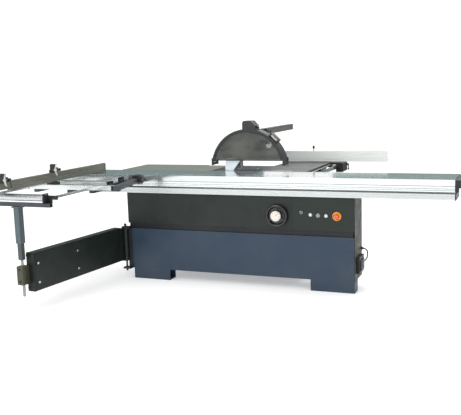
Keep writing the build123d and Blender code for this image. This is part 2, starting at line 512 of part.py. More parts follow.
def stop(yc, zt, n, lift=0.0):
    """Flip stop: a carriage clamped on the fence and a curved finger."""
    c = bx(FNX - 42, FNX + 2, yc - 19, yc + 28, zt, zt + 22) + bx(FNX - 22, FNX - 18, yc - 19, yc + 20, zt - 5, zt)
    c += bx(FNX + 2, FNX + 16, yc - 19, yc + 28, zt + 4, zt + 40) + bx(FNX - 34, FNX + 10, yc - 19, yc + 14, zt + 22, zt + 66)
    c += bx(FNX + 14, FNX + 31, yc - 19, yc - 9, zt + 8, zt + 40)
    c -= cy(FNX + 22, zt + 22, yc - 60, yc + 60, 3.05)
    c += cx(yc + 18, zt + 22, FNX + 16, FNX + 22, 5) + cx(yc + 18, zt + 22, FNX + 22, FNX + 38, 13)
    px, pz = FNX + 22, zt + 22
    f = cy(px, pz, yc - 30.3, yc - 20.3, 10) + bx(px + 4, px + 16, yc - 30.3, yc - 20.3, pz - 8, pz + 8)
    ring = cx(yc + 24, zt + 26, px + 10.5, px + 16, 70) - cx(yc + 24, zt + 26, px + 10, px + 17, 57)
    ring &= bx(px, px + 30, yc - 110, yc - 20.3, zt - 40, zt + 110)
    ring += bx(px + 10.5, px + 16, yc - 36, yc - 20.3, pz - 8, pz + 8)
    f += ring
    f += cy(px, pz, yc - 21, yc - 9.5, 3)
    return c, f


ca, fa = stop(-530, 942, 1)
out("stop_carriage_a", ca)
out("stop_finger_a", fa)
cb, fb = stop(-1125, 934, 2)
out("stop_carriage_b", cb)
out("stop_finger_b", fb)

# ----------------------------------------------------------------------------
# 11  swing arm under the outrigger
# ----------------------------------------------------------------------------
PX, PY = ARM_PIV
s = bx(-951, -925, -8, 0, 85, 440) + bx(-992, -925, -50, 0, 85, 99) + bx(-992, -925, -50, 0, 428, 442)
s += bx(-959, -951, -8, 40, 99, 428)
s -= cz(PX, PY, 60, 460, 8)
out("support_brackets", s)
out("support_brackets", cz(PX, PY, 66, 452, 8) + cz(PX, PY, 452, 458, 12))


def arm(s):
    """Place a solid drawn along -Y from the hinge pin at the rest angle."""
    return Pos(PX, PY + F, 0) * Rot(0, 0, -ARM_REST) * s


def ab(n0, n1, u0, u1, z0, z1):
    return Pos((n0 + n1) / 2, -(u0 + u1) / 2, (z0 + z1) / 2) * Box(abs(n1 - n0), abs(u1 - u0), abs(z1 - z0))


s = ab(-97, -32, 24, ARM_LEN, 150, 430) - ab(-93, -36, 60, ARM_LEN + 1, 154, 426)
s += ab(-40, 0, -6, 6, 152, 424) + ab(-44, -32, 0, 30, 152, 424) + Pos(0, 0, 288) * Cylinder(18, 272)
s -= Pos(0, 0, 288) * Cylinder(8.06, 300)
scr = [arm(Pos(-29.5, -u, z) * Rot(0, 90, 0) * Cylinder(7, 5)) for u, z in ((580, 354), (580, 215), (1012, 351), (1012, 211))]
out("swing_arm", *scr)
out("swing_arm", arm(s))
s = ab(-92, -37, 70, ARM_LEN + 3, 155, 425) - ab(-88, -41, 69, ARM_LEN - 8, 159, 421)
out("inner_arm", arm(s))
out("inner_arm", arm(rnd(ab(-99, -30, ARM_LEN + 3, ARM_LEN + 16, 148, 432), 3)))
s = ab(-132, -78, ARM_LEN + 16, ARM_LEN + 82, 206, 340) - Pos(-105, -(ARM_LEN + 50), 273) * Cylinder(10.0, 150)
out("support_column", arm(s))
c0 = Pos(-105, -(ARM_LEN + 50), 0)
s = c0 * (Pos(0, 0, (118 + 400) / 2) * Cylinder(9.95, 282))
out("support_column", arm(s))
s = c0 * (Pos(0, 0, (385 + 505) / 2) * Box(34, 34, 120)) - c0 * (Pos(0, 0, 390) * Cylinder(9.95, 40))
out("support_column", arm(s))
s = c0 * (Pos(0, 0, (505 + 760) / 2) * Box(46, 46, 255)) + c0 * (Pos(0, 0, 764) * Box(70, 60, 8))
out("support_column", arm(s))

# ----------------------------------------------------------------------------
# 12  saw unit inside the cabinet
# ----------------------------------------------------------------------------
PYT, PZT = TABLE_PT


def pol(r, a):
    """Point at radius r from the tilt axis, a degrees from straight down towards +Y."""
    return (PYT + r * math.sin(math.radians(a)), PZT - r * math.cos(math.radians(a)))


def sector(r0, r1, a0, a1, x0, x1, n=16):
    pts = [pol(r1, a0 + (a1 - a0) * i / n) for i in range(n + 1)]
    pts += [pol(r0, a1 - (a1 - a0) * i / n) for i in range(n + 1)]
    return prof_x(pts, x0, x1)


tr = []
for x0, x1 in ((-352, -340), (414, 426)):
    p = sector(160, 214, -5, 84, x0, x1) & bx(x0 - 1, x1 + 1, 300, 700, 500, 825)
    p -= sector(180, 194.1, -1, 68, x0 - 1, x1 + 1)
    tr.append(p)
out("support_brackets", *tr)

s = bx(-330, -318, 404, 620, 430, 812) + bx(400, 412, 404, 620, 430, 812)
s -= bx(-331, -317, 440, 584, 560, 700) + bx(399, 413, 440, 584, 560, 700)
s += bx(-320, 402, 485, 515, 430, 446)
s += bx(-320, -160, 485, 515, 800, 812) + bx(110, 402, 485, 515, 800, 812)
s += bx(-320, -300, 600, 620, 440, 800) + bx(382, 402, 600, 620, 440, 800)
for x in (-200, 150):
    s -= cz(x, 500, 420, 820, 14.95)
s -= cz(-100, 500, 420, 460, 9.06)
for a in (48, 62):
    y, z = pol(187, a)
    s += cx(y, z, -353, -319, 6.9) + cx(y, z, 401, 427, 6.9)
s += sector(218, 238.6, 27, 78, 412, 440)
s += bx(238, 262, 470, 515, 784, 800.5) + bx(200, 300, 480, 515, 790, 800.5)
out("tilt_frame", s)
out("tilt_frame", cz(-200, 500, 436, 811, 14.95), cz(150, 500, 436, 811, 14.95))
s = cy(245, 786, 400, 500, 26) + cy(245, 786, 500, 600, 32)
out("tilt_frame", s - bx(200, 300, 478, 520, 783.9, 830))
out("scoring_blade", cy(245, 786, 385.6, 388.6, 60) + cy(245, 786, 376, 399.9, 15))

# rise carriage with arbor housing, motor cradle and riving-knife holder
s = bx(-226, 176, 526, 546, 440, 780)
s -= bx(-160, 110, 525, 547, 455, 560)
for x in (-200, 150):
    s += bx(x - 26, x + 26, 476, 527, 560, 690)
    s -= cz(x, 500, 400, 830, 15.03)
s += bx(-124, -76, 476, 527, 600, 640) - cz(-100, 500, 590, 650, 9.06)
s -= cz(-100, 500, 590, 650, 9.06)
s += cy(BLADE_X, BLADE_Z, 404, 548, 42)
s -= cy(BLADE_X, BLADE_Z, 400, 550, 26.0)
s += bx(-248, -218, BLADE_Y + 1.4, 527, 655, 690)
s += bx(-121, -104, 545, 800, 440, 552) + bx(64, 81, 545, 800, 440, 552)
out("rise_carriage", s)
out("rise_carriage", cy(BLADE_X, BLADE_Z, 406, 424, 25.95) - cy(BLADE_X, BLADE_Z, 400, 430, 12.55),
    cy(BLADE_X, BLADE_Z, 526, 544, 25.95) - cy(BLADE_X, BLADE_Z, 520, 550, 12.55))
s = cy(BLADE_X, BLADE_Z, 370, 592, 12.5) + cy(BLADE_X, BLADE_Z, 556, 588, 34)
for y in (562, 569, 576, 583):
    s -= cy(BLADE_X, BLADE_Z, y - 2, y + 2, 40) - cy(BLADE_X, BLADE_Z, y - 3, y + 3, 30)
out("arbor_shaft", s)
pts = []
NT = 36
for i in range(NT):
    a = 2 * math.pi * i / NT
    for da, r in ((0.0, BLADE_R), (0.25, BLADE_R - 9), (0.75, BLADE_R - 4)):
        aa = -(a + da * 2 * math.pi / NT)
        pts.append((BLADE_X + r * math.cos(aa), BLADE_Z + r * math.sin(aa)))
s = prof_y(pts, BLADE_Y - 1.6, BLADE_Y + 1.6) - cy(BLADE_X, BLADE_Z, 380, 395, 12.5)
out("saw_blade", s)
s1 = cy(BLADE_X, BLADE_Z, BLADE_Y + 1.6, 398, 35) - cy(BLADE_X, BLADE_Z, 380, 400, 12.5)
s2 = cy(BLADE_X, BLADE_Z, 379.6, BLADE_Y - 1.6, 35) - cy(BLADE_X, BLADE_Z, 378, 390, 12.5)
hexn = Pos(BLADE_X, 375.6 + F, BLADE_Z) * Rot(90, 0, 0) * extrude(RegularPolygon(18, 6), 4, both=True)
hexn -= cy(BLADE_X, BLADE_Z, 368, 382, 12.5)
out("arbor_shaft", s1, s2, hexn)

ks = []
for i in range(13):
    a = math.radians(205 - i * (205 - 136) / 12)
    ks.append((BLADE_X + 183 * math.cos(a), BLADE_Z + 183 * math.sin(a)))
knife = [(-238, 655), (-236, 760), (-224, 870), (-221, 935), (-213, 962), (-196, 975), (-160, 975), (-118, 964), (-91, 950), (-150, 874)] + list(reversed(ks))
s = prof_y(knife, BLADE_Y - 1.4, BLADE_Y + 1.4)
out("riving_knife", s)

s = cy(BLADE_X, 490, 600, 800, 84) + cy(BLADE_X, 490, 592, 600, 60)
for i in range(18):
    a = math.radians(i * 20)
    if abs(math.sin(a)) > 0.5:
        s += Pos(BLADE_X + 86 * math.cos(a), 700 + F, 490 + 86 * math.sin(a)) * Rot(0, -math.degrees(a), 0) * Box(8, 180, 3)
s += bx(BLADE_X + 0, BLADE_X + 60, 640, 740, 570, 596)
out("motor", s)
s = cy(BLADE_X, 490, 540, 591.5, 14) + cy(BLADE_X, 490, 556, 588, 50)
for y in (562, 569, 576, 583):
    s -= cy(BLADE_X, 490, y - 2, y + 2, 60) - cy(BLADE_X, 490, y - 3, y + 3, 46)
out("motor_pulley", s)


def belt(off):
    r1, r2 = 34.35 + off, 50.35 + off
    d = BLADE_Z - 490
    a = math.asin((r2 - r1) / d)
    up = cy(BLADE_X, BLADE_Z, 560, 584, r1)
    lo = cy(BLADE_X, 490, 560, 584, r2)
    p = [(BLADE_X - r1 * math.cos(a), BLADE_Z + r1 * math.sin(a)), (BLADE_X + r1 * math.cos(a), BLADE_Z + r1 * math.sin(a)),
         (BLADE_X + r2 * math.cos(a), 490 + r2 * math.sin(a)), (BLADE_X - r2 * math.cos(a), 490 + r2 * math.sin(a))]
    return up + lo + prof_y(p, 560, 584)


out("drive_belt", belt(6.0) - belt(0.0))
out("rise_screw", cz(-100, 500, 425, 700, 9))
out("motor", cy(BLADE_X, 490, 800, 836, 84) - cy(BLADE_X, 490, 799, 832, 80))

# dust collection under the saw unit
s = cy(-520, 200, 600, RC_Y1, 61) + cy(-520, 200, RC_Y1, RC_Y1 + 60, 60) - cy(-520, 200, 599, RC_Y1 + 61, 57)
s += bx(-600, -440, 420, 604, 100, 270) - bx(-596, -430, 424, 600, 104, 266)
s -= cy(-520, 200, 590, 620, 57)
out("dust_duct", s)

# ----------------------------------------------------------------------------
# one file per node
# ----------------------------------------------------------------------------
for old in os.listdir("parts"):
    if old.endswith(".step") and old[:-5] not in NODES:
        os.remove(os.path.join("parts", old))
for name, solids in NODES.items():
    shape = solids[0] if len(solids) == 1 else Compound(children=solids)
    export_step(shape, f"parts/{name}.step")
print(len(NODES), "nodes,", sum(len(v) for v in NODES.values()), "solids")
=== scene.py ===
import math
import bmesh
import bpy
from mathutils import Matrix, Vector


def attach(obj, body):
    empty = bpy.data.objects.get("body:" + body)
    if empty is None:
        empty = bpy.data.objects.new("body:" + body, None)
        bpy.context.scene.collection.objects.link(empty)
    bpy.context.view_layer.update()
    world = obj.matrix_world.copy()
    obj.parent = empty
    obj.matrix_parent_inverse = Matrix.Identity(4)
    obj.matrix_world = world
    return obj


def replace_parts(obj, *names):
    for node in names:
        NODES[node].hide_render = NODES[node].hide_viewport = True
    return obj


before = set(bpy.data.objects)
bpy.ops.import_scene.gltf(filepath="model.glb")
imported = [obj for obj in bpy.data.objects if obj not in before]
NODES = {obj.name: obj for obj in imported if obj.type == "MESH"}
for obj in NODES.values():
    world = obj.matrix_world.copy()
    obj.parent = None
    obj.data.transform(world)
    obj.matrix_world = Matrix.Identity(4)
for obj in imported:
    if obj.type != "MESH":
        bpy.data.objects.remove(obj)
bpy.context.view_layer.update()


def Y(f):
    """y in the row frame of a distance f, in mm, behind the cabinet's front face."""
    return (f - 54.0) / 1000.0


def srgb(r, g, b):
    def c(v):
        v /= 255.0
        return v / 12.92 if v <= 0.04045 else ((v + 0.055) / 1.055) ** 2.4
    return (c(r), c(g), c(b), 1.0)


# ---------------------------------------------------------------------------
# camera
# ---------------------------------------------------------------------------
yaw, pit, rol = math.radians(22.2295), math.radians(8.8822), math.radians(-1.7762)
fwd = Vector((-math.sin(yaw) * math.cos(pit), math.cos(yaw) * math.cos(pit), -math.sin(pit)))
rgt = Vector((math.cos(yaw), math.sin(yaw), 0))
up0 = rgt.cross(fwd)
R_ = math.cos(rol) * rgt + math.sin(rol) * up0
U_ = -math.sin(rol) * rgt + math.cos(rol) * up0
cd = bpy.data.cameras.new("camera")
cam = bpy.data.objects.new("camera", cd)
bpy.context.scene.collection.objects.link(cam)
m = Matrix.Identity(4)
for i in range(3):
    m[i][0], m[i][1], m[i][2] = R_[i], U_[i], -fwd[i]
m.translation = Vector((2.1121, -5.295, 1.5076))
cam.matrix_world = m
cd.sensor_width = 36.0
cd.lens = 57.17
cd.clip_end = 100
bpy.context.scene.camera = cam


# ---------------------------------------------------------------------------
# materials
# ---------------------------------------------------------------------------
def node(nt, kind, **kw):
    n = nt.nodes.new(kind)
    for k, v in kw.items():
        setattr(n, k, v)
    return n


def math_(nt, op, a, b=None, clamp=False):
    n = node(nt, "ShaderNodeMath", operation=op, use_clamp=clamp)
    for i, v in enumerate((a, b)):
        if v is None:
            continue
        if isinstance(v, (int, float)):
            n.inputs[i].default_value = v
        else:
            nt.links.new(v, n.inputs[i])
    return n.outputs[0]


def mixc(nt, fac, a, b, blend="MIX"):
    n = node(nt, "ShaderNodeMix", data_type="RGBA", blend_type=blend)
    for i, v in ((0, fac), (6, a), (7, b)):
        if isinstance(v, (int, float, tuple)):
            n.inputs[i].default_value = v
        else:
            nt.links.new(v, n.inputs[i])
    return n.outputs[2]


def noise(nt, co, scale, detail=3, rough=0.55, stretch=None):
    if stretch:
        mp = node(nt, "ShaderNodeMapping")
        mp.inputs["Scale"].default_value = stretch
        nt.links.new(co, mp.inputs[0])
        co = mp.outputs[0]
    n = node(nt, "ShaderNodeTexNoise")
    n.inputs["Scale"].default_value = scale
    n.inputs["Detail"].default_value = detail
    n.inputs["Roughness"].default_value = rough
    nt.links.new(co, n.inputs["Vector"])
    return n.outputs["Fac"]


def maprange(nt, v, a, b, c, d):
    n = node(nt, "ShaderNodeMapRange")
    n.inputs[1].default_value, n.inputs[2].default_value = a, b
    n.inputs[3].default_value, n.inputs[4].default_value = c, d
    nt.links.new(v, n.inputs[0])
    return n.outputs[0]


MATS = {}


def material(name, base, rough=0.5, metal=0.0, var=0.08, vscale=6.0, bump=0.00010, bscale=900.0, streak=None,
             wear=0.0, wear_col=None, dust=0.0, coat=0.0, spec=0.5, rvar=0.10, bevel=0.0012, zones=None, alpha=None,
             spots=0.0, aniso=0.0):
    """A procedural finish.  zones is a list of (kind, low, high, colour[, metal]) painted by position."""
    if name in MATS:
        return MATS[name]
    mt = bpy.data.materials.new(name)
    mt.use_nodes = True
    nt = mt.node_tree
    nt.nodes.clear()
    o = node(nt, "ShaderNodeOutputMaterial")
    p = node(nt, "ShaderNodeBsdfPrincipled")
    nt.links.new(p.outputs[0], o.inputs[0])
    tc = node(nt, "ShaderNodeTexCoord")
    co = tc.outputs["Object"]
    big = noise(nt, co, vscale, 4, 0.6, streak)
    fine = noise(nt, co, bscale, 2, 0.5, streak)
    lo = tuple(c * (1 - var) for c in base[:3]) + (1,)
    hi = tuple(min(1, c * (1 + var)) for c in base[:3]) + (1,)
    f = maprange(nt, big, 0.32, 0.68, 0, 1)
    col = mixc(nt, f, lo, hi)
    sep = node(nt, "ShaderNodeSeparateXYZ")
    nt.links.new(co, sep.inputs[0])
    met = metal
    rough_z = None
    if zones:
        for z in zones:
            kind, a, b, zc = z[:4]
            if kind == "z":
                src = sep.outputs[2]
            elif kind == "y":
                src = sep.outputs[1]
            elif kind == "x":
                src = sep.outputs[0]
            else:                       # ("dot", nx, ny) distance along a level direction
                nx, ny = kind
                src = math_(nt, "ADD", math_(nt, "MULTIPLY", sep.outputs[0], nx), math_(nt, "MULTIPLY", sep.outputs[1], ny))
            inside = math_(nt, "MULTIPLY", math_(nt, "GREATER_THAN", src, a), math_(nt, "LESS_THAN", src, b))
            zl = tuple(c * (1 - var) for c in zc[:3]) + (1,)
            zh = tuple(min(1, c * (1 + var)) for c in zc[:3]) + (1,)
            col = mixc(nt, inside, col, mixc(nt, f, zl, zh))
            if len(z) > 4:
                mm = node(nt, "ShaderNodeMix", data_type="FLOAT")
                nt.links.new(inside, mm.inputs[0])
                if isinstance(met, float):
                    mm.inputs[2].default_value = met
                else:
                    nt.links.new(met, mm.inputs[2])
                mm.inputs[3].default_value = z[4]
                met = mm.outputs[0]
    if spots:
        sp = noise(nt, co, 55.0, 5, 0.7)
        sf = maprange(nt, sp, 0.60, 0.75, 0, spots)
        col = mixc(nt, sf, col, tuple(c * 0.45 for c in base[:3]) + (1,))
    bv = node(nt, "ShaderNodeBevel", samples=4)
    bv.inputs[0].default_value = bevel
    if wear:
        bw = node(nt, "ShaderNodeBevel", samples=4)
        bw.inputs[0].default_value = 0.003
        geo = node(nt, "ShaderNodeNewGeometry")
        dt = node(nt, "ShaderNodeVectorMath", operation="DOT_PRODUCT")
        nt.links.new(bw.outputs[0], dt.inputs[0])
        nt.links.new(geo.outputs["True Normal"], dt.inputs[1])
        e = math_(nt, "SUBTRACT", 1.0, dt.outputs["Value"], True)
        chips = noise(nt, co, 70.0, 4, 0.7)
        e = math_(nt, "MULTIPLY", math_(nt, "MULTIPLY", e, 5.0, True), maprange(nt, chips, 0.40, 0.62, 0.15, 1.0), True)
        e = math_(nt, "MULTIPLY", e, wear, True)
        col = mixc(nt, e, col, wear_col or tuple(min(1, c * 2.2 + 0.05) for c in base[:3]) + (1,))
    if dust:
        d = noise(nt, co, 3.5, 6, 0.65)
        low = maprange(nt, sep.outputs[2], 0.05, 0.65, 1.0, 0.25)
        d = math_(nt, "MULTIPLY", maprange(nt, d, 0.42, 0.72, 0, dust), low)
        col = mixc(nt, d, col, srgb(150, 144, 130))
    nt.links.new(col, p.inputs["Base Color"])
    if isinstance(met, float):
        p.inputs["Metallic"].default_value = met
    else:
        nt.links.new(met, p.inputs["Metallic"])
    r = maprange(nt, noise(nt, co, vscale * 4, 4, 0.6, streak), 0.3, 0.7, max(0.03, rough - rvar), min(1, rough + rvar))
    nt.links.new(r, p.inputs["Roughness"])
    p.inputs["Specular IOR Level"].default_value = spec
    p.inputs["Coat Weight"].default_value = coat
    if coat:
        p.inputs["Coat Roughness"].default_value = 0.2
    bp = node(nt, "ShaderNodeBump")
    bp.inputs["Strength"].default_value = 0.6
    bp.inputs["Distance"].default_value = bump
    nt.links.new(fine, bp.inputs["Height"])
    nt.links.new(bv.outputs[0], bp.inputs["Normal"])
    nt.links.new(bp.outputs[0], p.inputs["Normal"])
    if alpha is not None:
        p.inputs["Alpha"].default_value = alpha
    MATS[name] = mt
    return mt


BLUE = material("powder_blue", srgb(38, 56, 75), 0.42, spec=0.42, var=0.05, vscale=3.0, bump=0.00012, bscale=1500, wear=0.3, dust=0.06)
BLUE_UP = material("powder_blue_band", srgb(38, 55, 73), 0.42, spec=0.42, var=0.05, vscale=3.0, bump=0.00012, bscale=1500, wear=0.3,
                   dust=0.04, zones=[("z", 0.4235, 0.4682, srgb(15, 18, 22))])
FASCIA = material("fascia_grey", srgb(21, 30, 27), 0.40, spec=0.38, var=0.06, vscale=4.0, bump=0.00010, bscale=1800, wear=0.3, dust=0.08)
PANEL = material("control_grey", srgb(27, 36, 32), 0.45, spec=0.38, var=0.05, vscale=6.0, bump=0.00008, bscale=2200, wear=0.2)
OLIVE = material("side_olive", srgb(26, 28, 22), 0.5, spec=0.3, var=0.10, vscale=4.0, bump=0.00012, bscale=1500, wear=0.3, dust=0.15)
GREY = material("frame_grey", srgb(56, 60, 66), 0.42, var=0.07, vscale=7.0, bump=0.00010, bscale=1600, wear=0.4)
HOODG = material("guard_grey", srgb(40, 43, 42), 0.55, var=0.06, vscale=8.0, bump=0.00010, bscale=1700, wear=0.4)
BOOMM = material("boom_bronze", srgb(78, 77, 69), 0.36, 0.35, var=0.08, vscale=6.0, bump=0.00006, bscale=900, wear=0.3)
BLACK = material("black_paint", srgb(26, 28, 30), 0.45, var=0.12, vscale=9.0, bump=0.00012, bscale=1400, wear=0.4)
ARMM = material("arm_green_grey", srgb(17, 26, 21), 0.42, spec=0.34, var=0.08, vscale=5.0, bump=0.00012, bscale=1400, wear=0.35, dust=0.05)
CH, SH = math.sin(math.radians(6.2)), math.cos(math.radians(6.2))
U0 = -(-0.968) * 0.0
# distance along the arm from the hinge: u = -(x - px) sin - (y - py) cos
PXm, PYm = -0.968, Y(-28)
uoff = PXm * CH + PYm * SH


def arm_zone(u0, u1, colr, *rest):
    # along-arm coordinate of a point is uoff - (x CH + y SH)
    return ((-CH, -SH), u0 - uoff, u1 - uoff, colr) + rest


INNER = material("arm_inner", srgb(19, 27, 22), 0.42, spec=0.34, var=0.10, vscale=5.0, wear=0.4,
                 zones=[arm_zone(1.0425, 1.10, srgb(22, 29, 25))])
COLUMN = material("column", srgb(82, 94, 99), 0.34, 0.25, var=0.07, vscale=9.0, wear=0.4,
                  zones=[("z", 0.10, 0.2055, srgb(150, 152, 150), 0.9), ("z", 0.2055, 0.3405, srgb(62, 62, 46), 0.0),
                         ("z", 0.3405, 0.385, srgb(150, 152, 150), 0.9), ("z", 0.385, 0.5049, srgb(70, 76, 78), 0.2)])
ALU = material("anodised", srgb(232, 236, 236), 0.22, 0.92, var=0.05, vscale=26.0, bump=0.00004, bscale=700, streak=(0.02, 1, 1),
               rvar=0.08, spots=0.05)
ALU_Y = material("anodised_y", srgb(226, 230, 230), 0.24, 0.92, var=0.05, vscale=26.0, bump=0.00004, bscale=700, streak=(1, 0.02, 1),
                 rvar=0.08, spots=0.05)
TABLE = material("sliding_anodised", srgb(226, 232, 232), 0.13, 0.92, var=0.05, vscale=30.0, bump=0.00003, bscale=700,
                 streak=(0.015, 1, 1), rvar=0.07, zones=[("z", 0.8226, 0.8254, srgb(40, 46, 46), 0.2), ("z", 0.8040, 0.8058, srgb(70, 78, 78), 0.3), ("z", 0.7925, 0.7940, srgb(80, 86, 86), 0.3)])
BEAMM = material("beam_anodised", srgb(205, 210, 210), 0.26, 0.85, var=0.06, vscale=30.0, bump=0.00003, bscale=700,
                 streak=(0.015, 1, 1), rvar=0.07)
FENCE = material("fence_satin", srgb(128, 128, 118), 0.32, 0.75, var=0.07, vscale=22.0, bump=0.00004, bscale=700, streak=(1, 0.02, 1))
IRON = material("ground_iron", srgb(44, 47, 43), 0.45, 0.25, var=0.10, vscale=14.0, bump=0.00005, bscale=500, streak=(0.05, 1, 1),
                spots=0.25, rvar=0.12, zones=[("x", -3.0, -0.345, srgb(132, 136, 126), 0.5)])
STEEL = material("ground_steel", srgb(196, 199, 202), 0.22, 1.0, var=0.05, vscale=30.0, bump=0.00003, bscale=900)
DSTEEL = material("blade_steel", srgb(96, 100, 106), 0.28, 1.0, var=0.10, vscale=30.0, bump=0.00004, bscale=1100)
CAST = material("cast_grey", srgb(74, 78, 80), 0.60, 0.2, var=0.14, vscale=25.0, bump=0.0004, bscale=260, wear=0.4)
PLAST = material("black_plastic", srgb(20, 21, 23), 0.42, var=0.10, vscale=30.0, bump=0.00015, bscale=1300)
GLOSS = material("black_gloss", srgb(20, 20, 22), 0.24, var=0.06, vscale=20.0, bump=0.00002, bscale=700, coat=0.4)
DIAL = material("dial_ivory", srgb(228, 222, 214), 0.34, var=0.03, vscale=30.0, bump=0.00002, bscale=900, coat=0.2)
LGREY = material("grip_grey", srgb(196, 198, 194), 0.38, var=0.05, vscale=26.0, bump=0.00010, bscale=1300)
OLIVEF = material("handle_olive", srgb(56, 58, 45), 0.42, var=0.07, vscale=20.0, bump=0.00010, bscale=1300, wear=0.4)
WHITEB = material("button_white", srgb(226, 228, 226), 0.26, var=0.03, vscale=40.0, bump=0.00002, bscale=900, coat=0.3)
GREYB = material("button_grey", srgb(150, 156, 158), 0.30, var=0.03, vscale=40.0, bump=0.00002, bscale=900, coat=0.3)
REDB = material("mushroom_red", srgb(222, 66, 30), 0.26, var=0.04, vscale=40.0, bump=0.00002, bscale=900, coat=0.5)
YELL = material("surround_yellow", srgb(238, 150, 40), 0.36, var=0.04, vscale=40.0, bump=0.00004, bscale=900)
LAMP = material("lamp_lens", srgb(60, 66, 66), 0.15, var=0.03, vscale=40.0, bump=0.00002, bscale=500, coat=0.6)
RUBB = material("rubber", srgb(20, 20, 21), 0.62, var=0.10, vscale=60.0, bump=0.00012, bscale=900)
MOTOR = material("motor_paint", srgb(46, 56, 66), 0.45, var=0.08, vscale=12.0, bump=0.0001, bscale=900, wear=0.4)
RIPM = material("rip_anodised", srgb(238, 242, 238), 0.34, 0.30, var=0.05, vscale=26.0, bump=0.00004, bscale=700, streak=(0.02, 1, 1))
# painted highlight: the riving knife gets a near-white bluish colour with little metal, standing in for the light its
# steel reflects
KNIFE_HIGHLIGHT = material("knife_painted_highlight", srgb(232, 242, 250), 0.34, 0.25, var=0.03, vscale=40.0, bump=0.00002, bscale=700)


def window_mat():
    mt = bpy.data.materials.new("smoked_window")
    mt.use_nodes = True
    nt = mt.node_tree
    p = nt.nodes["Principled BSDF"]
    tc = node(nt, "ShaderNodeTexCoord")
    n = noise(nt, tc.outputs["Object"], 7.0, 4, 0.6, (0.8, 1, 1.6))
    col = mixc(nt, maprange(nt, n, 0.35, 0.65, 0, 1), srgb(54, 59, 57), srgb(104, 107, 100))
    nt.links.new(col, p.inputs["Base Color"])
    scr = noise(nt, tc.outputs["Object"], 160.0, 5, 0.7, (1, 1, 0.12))
    nt.links.new(maprange(nt, scr, 0.45, 0.75, 0.10, 0.30), p.inputs["Roughness"])
    # the near pane is the more worn and clearer one, the far pane nearly opaque
    sp = node(nt, "ShaderNodeSeparateXYZ")
    nt.links.new(tc.outputs["Object"], sp.inputs[0])
    nt.links.new(maprange(nt, math_(nt, "GREATER_THAN", sp.outputs[1], Y(387)), 0, 1, 0.55, 0.93), p.inputs["Alpha"])
    p.inputs["IOR"].default_value = 1.58
    bp = node(nt, "ShaderNodeBump")
    bp.inputs["Distance"].default_value = 0.00004
    nt.links.new(scr, bp.inputs["Height"])
    nt.links.new(bp.outputs[0], p.inputs["Normal"])
    return mt


WINDOW = window_mat()

SKIN = {
    "feet": BLUE, "lower_cabinet": BLUE, "upper_cabinet": BLUE_UP, "fascia_panel": FASCIA, "control_panel": PANEL,
    "side_cover_right": OLIVE, "rear_cabinet": BLUE, "access_door": BLUE, "power_inlet": PLAST, "inlet_cable": RUBB,
    "start_button": WHITEB, "stop_button": WHITEB, "selector_knob": GREYB, "emergency_stop": REDB, "rise_handwheel": GLOSS,
    "tilt_handwheel": GLOSS, "fixed_beam": BEAMM, "sliding_table": TABLE, "roller_cage": STEEL, "table_end_caps": PLAST,
    "support_brackets": BLACK, "fence_rail": DSTEEL, "main_table": IRON, "extension_tables": IRON, "table_insert": FENCE,
    "rip_carriage": BLACK, "rip_fence": RIPM, "fence_clamp_lever": GLOSS, "rail_lock_lever": GLOSS, "guard_post": GREY,
    "boom": BOOMM, "guard_hood": HOODG, "guard_windows": WINDOW, "guard_handle": OLIVEF, "guard_roller_left": PLAST,
    "guard_roller_right": PLAST, "outrigger_bars": ALU, "outrigger_rails": GREY, "outrigger_fittings": PLAST,
    "loading_roller": STEEL, "crosscut_fence": FENCE, "fence_extension": FENCE, "stop_carriage_a": BLACK,
    "stop_carriage_b": BLACK, "stop_finger_a": STEEL, "stop_finger_b": STEEL, "swing_arm": ARMM, "inner_arm": INNER,
    "support_column": COLUMN, "tilt_frame": CAST, "rise_carriage": CAST, "arbor_shaft": STEEL, "saw_blade": DSTEEL,
    "scoring_blade": DSTEEL, "riving_knife": KNIFE_HIGHLIGHT, "motor": MOTOR, "motor_pulley": STEEL, "drive_belt": RUBB,
    "rise_screw": STEEL, "dust_duct": GREY,
}
for nm, ob in NODES.items():
    mt = SKIN.get(nm)
    if mt is None:
        continue
    if not ob.material_slots:
        ob.data.materials.append(mt)
    for s in ob.material_slots:
        s.material = mt


# ---------------------------------------------------------------------------
# mesh helpers
# ---------------------------------------------------------------------------
def axis_matrix(center, direction):
    """Local +Z along direction, placed at center."""
    q = Vector(direction).normalized().to_track_quat("Z", "Y")
    mm = q.to_matrix().to_4x4()
    mm.translation = Vector(center)
    return mm


def finish_mesh(bm, name, mat, body, smooth=30):
    bmesh.ops.remove_doubles(bm, verts=bm.verts, dist=1e-6)
    bmesh.ops.recalc_face_normals(bm, faces=bm.faces)
    me = bpy.data.meshes.new(name)
    bm.to_mesh(me)
    bm.free()
    ob = bpy.data.objects.new(name, me)
    bpy.context.scene.collection.objects.link(ob)
    for mt in (mat if isinstance(mat, (list, tuple)) else [mat]):
        me.materials.append(mt)
    for pl in me.polygons:
        pl.use_smooth = True
    me.set_sharp_from_angle(angle=math.radians(smooth))
    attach(ob, body)
    return ob


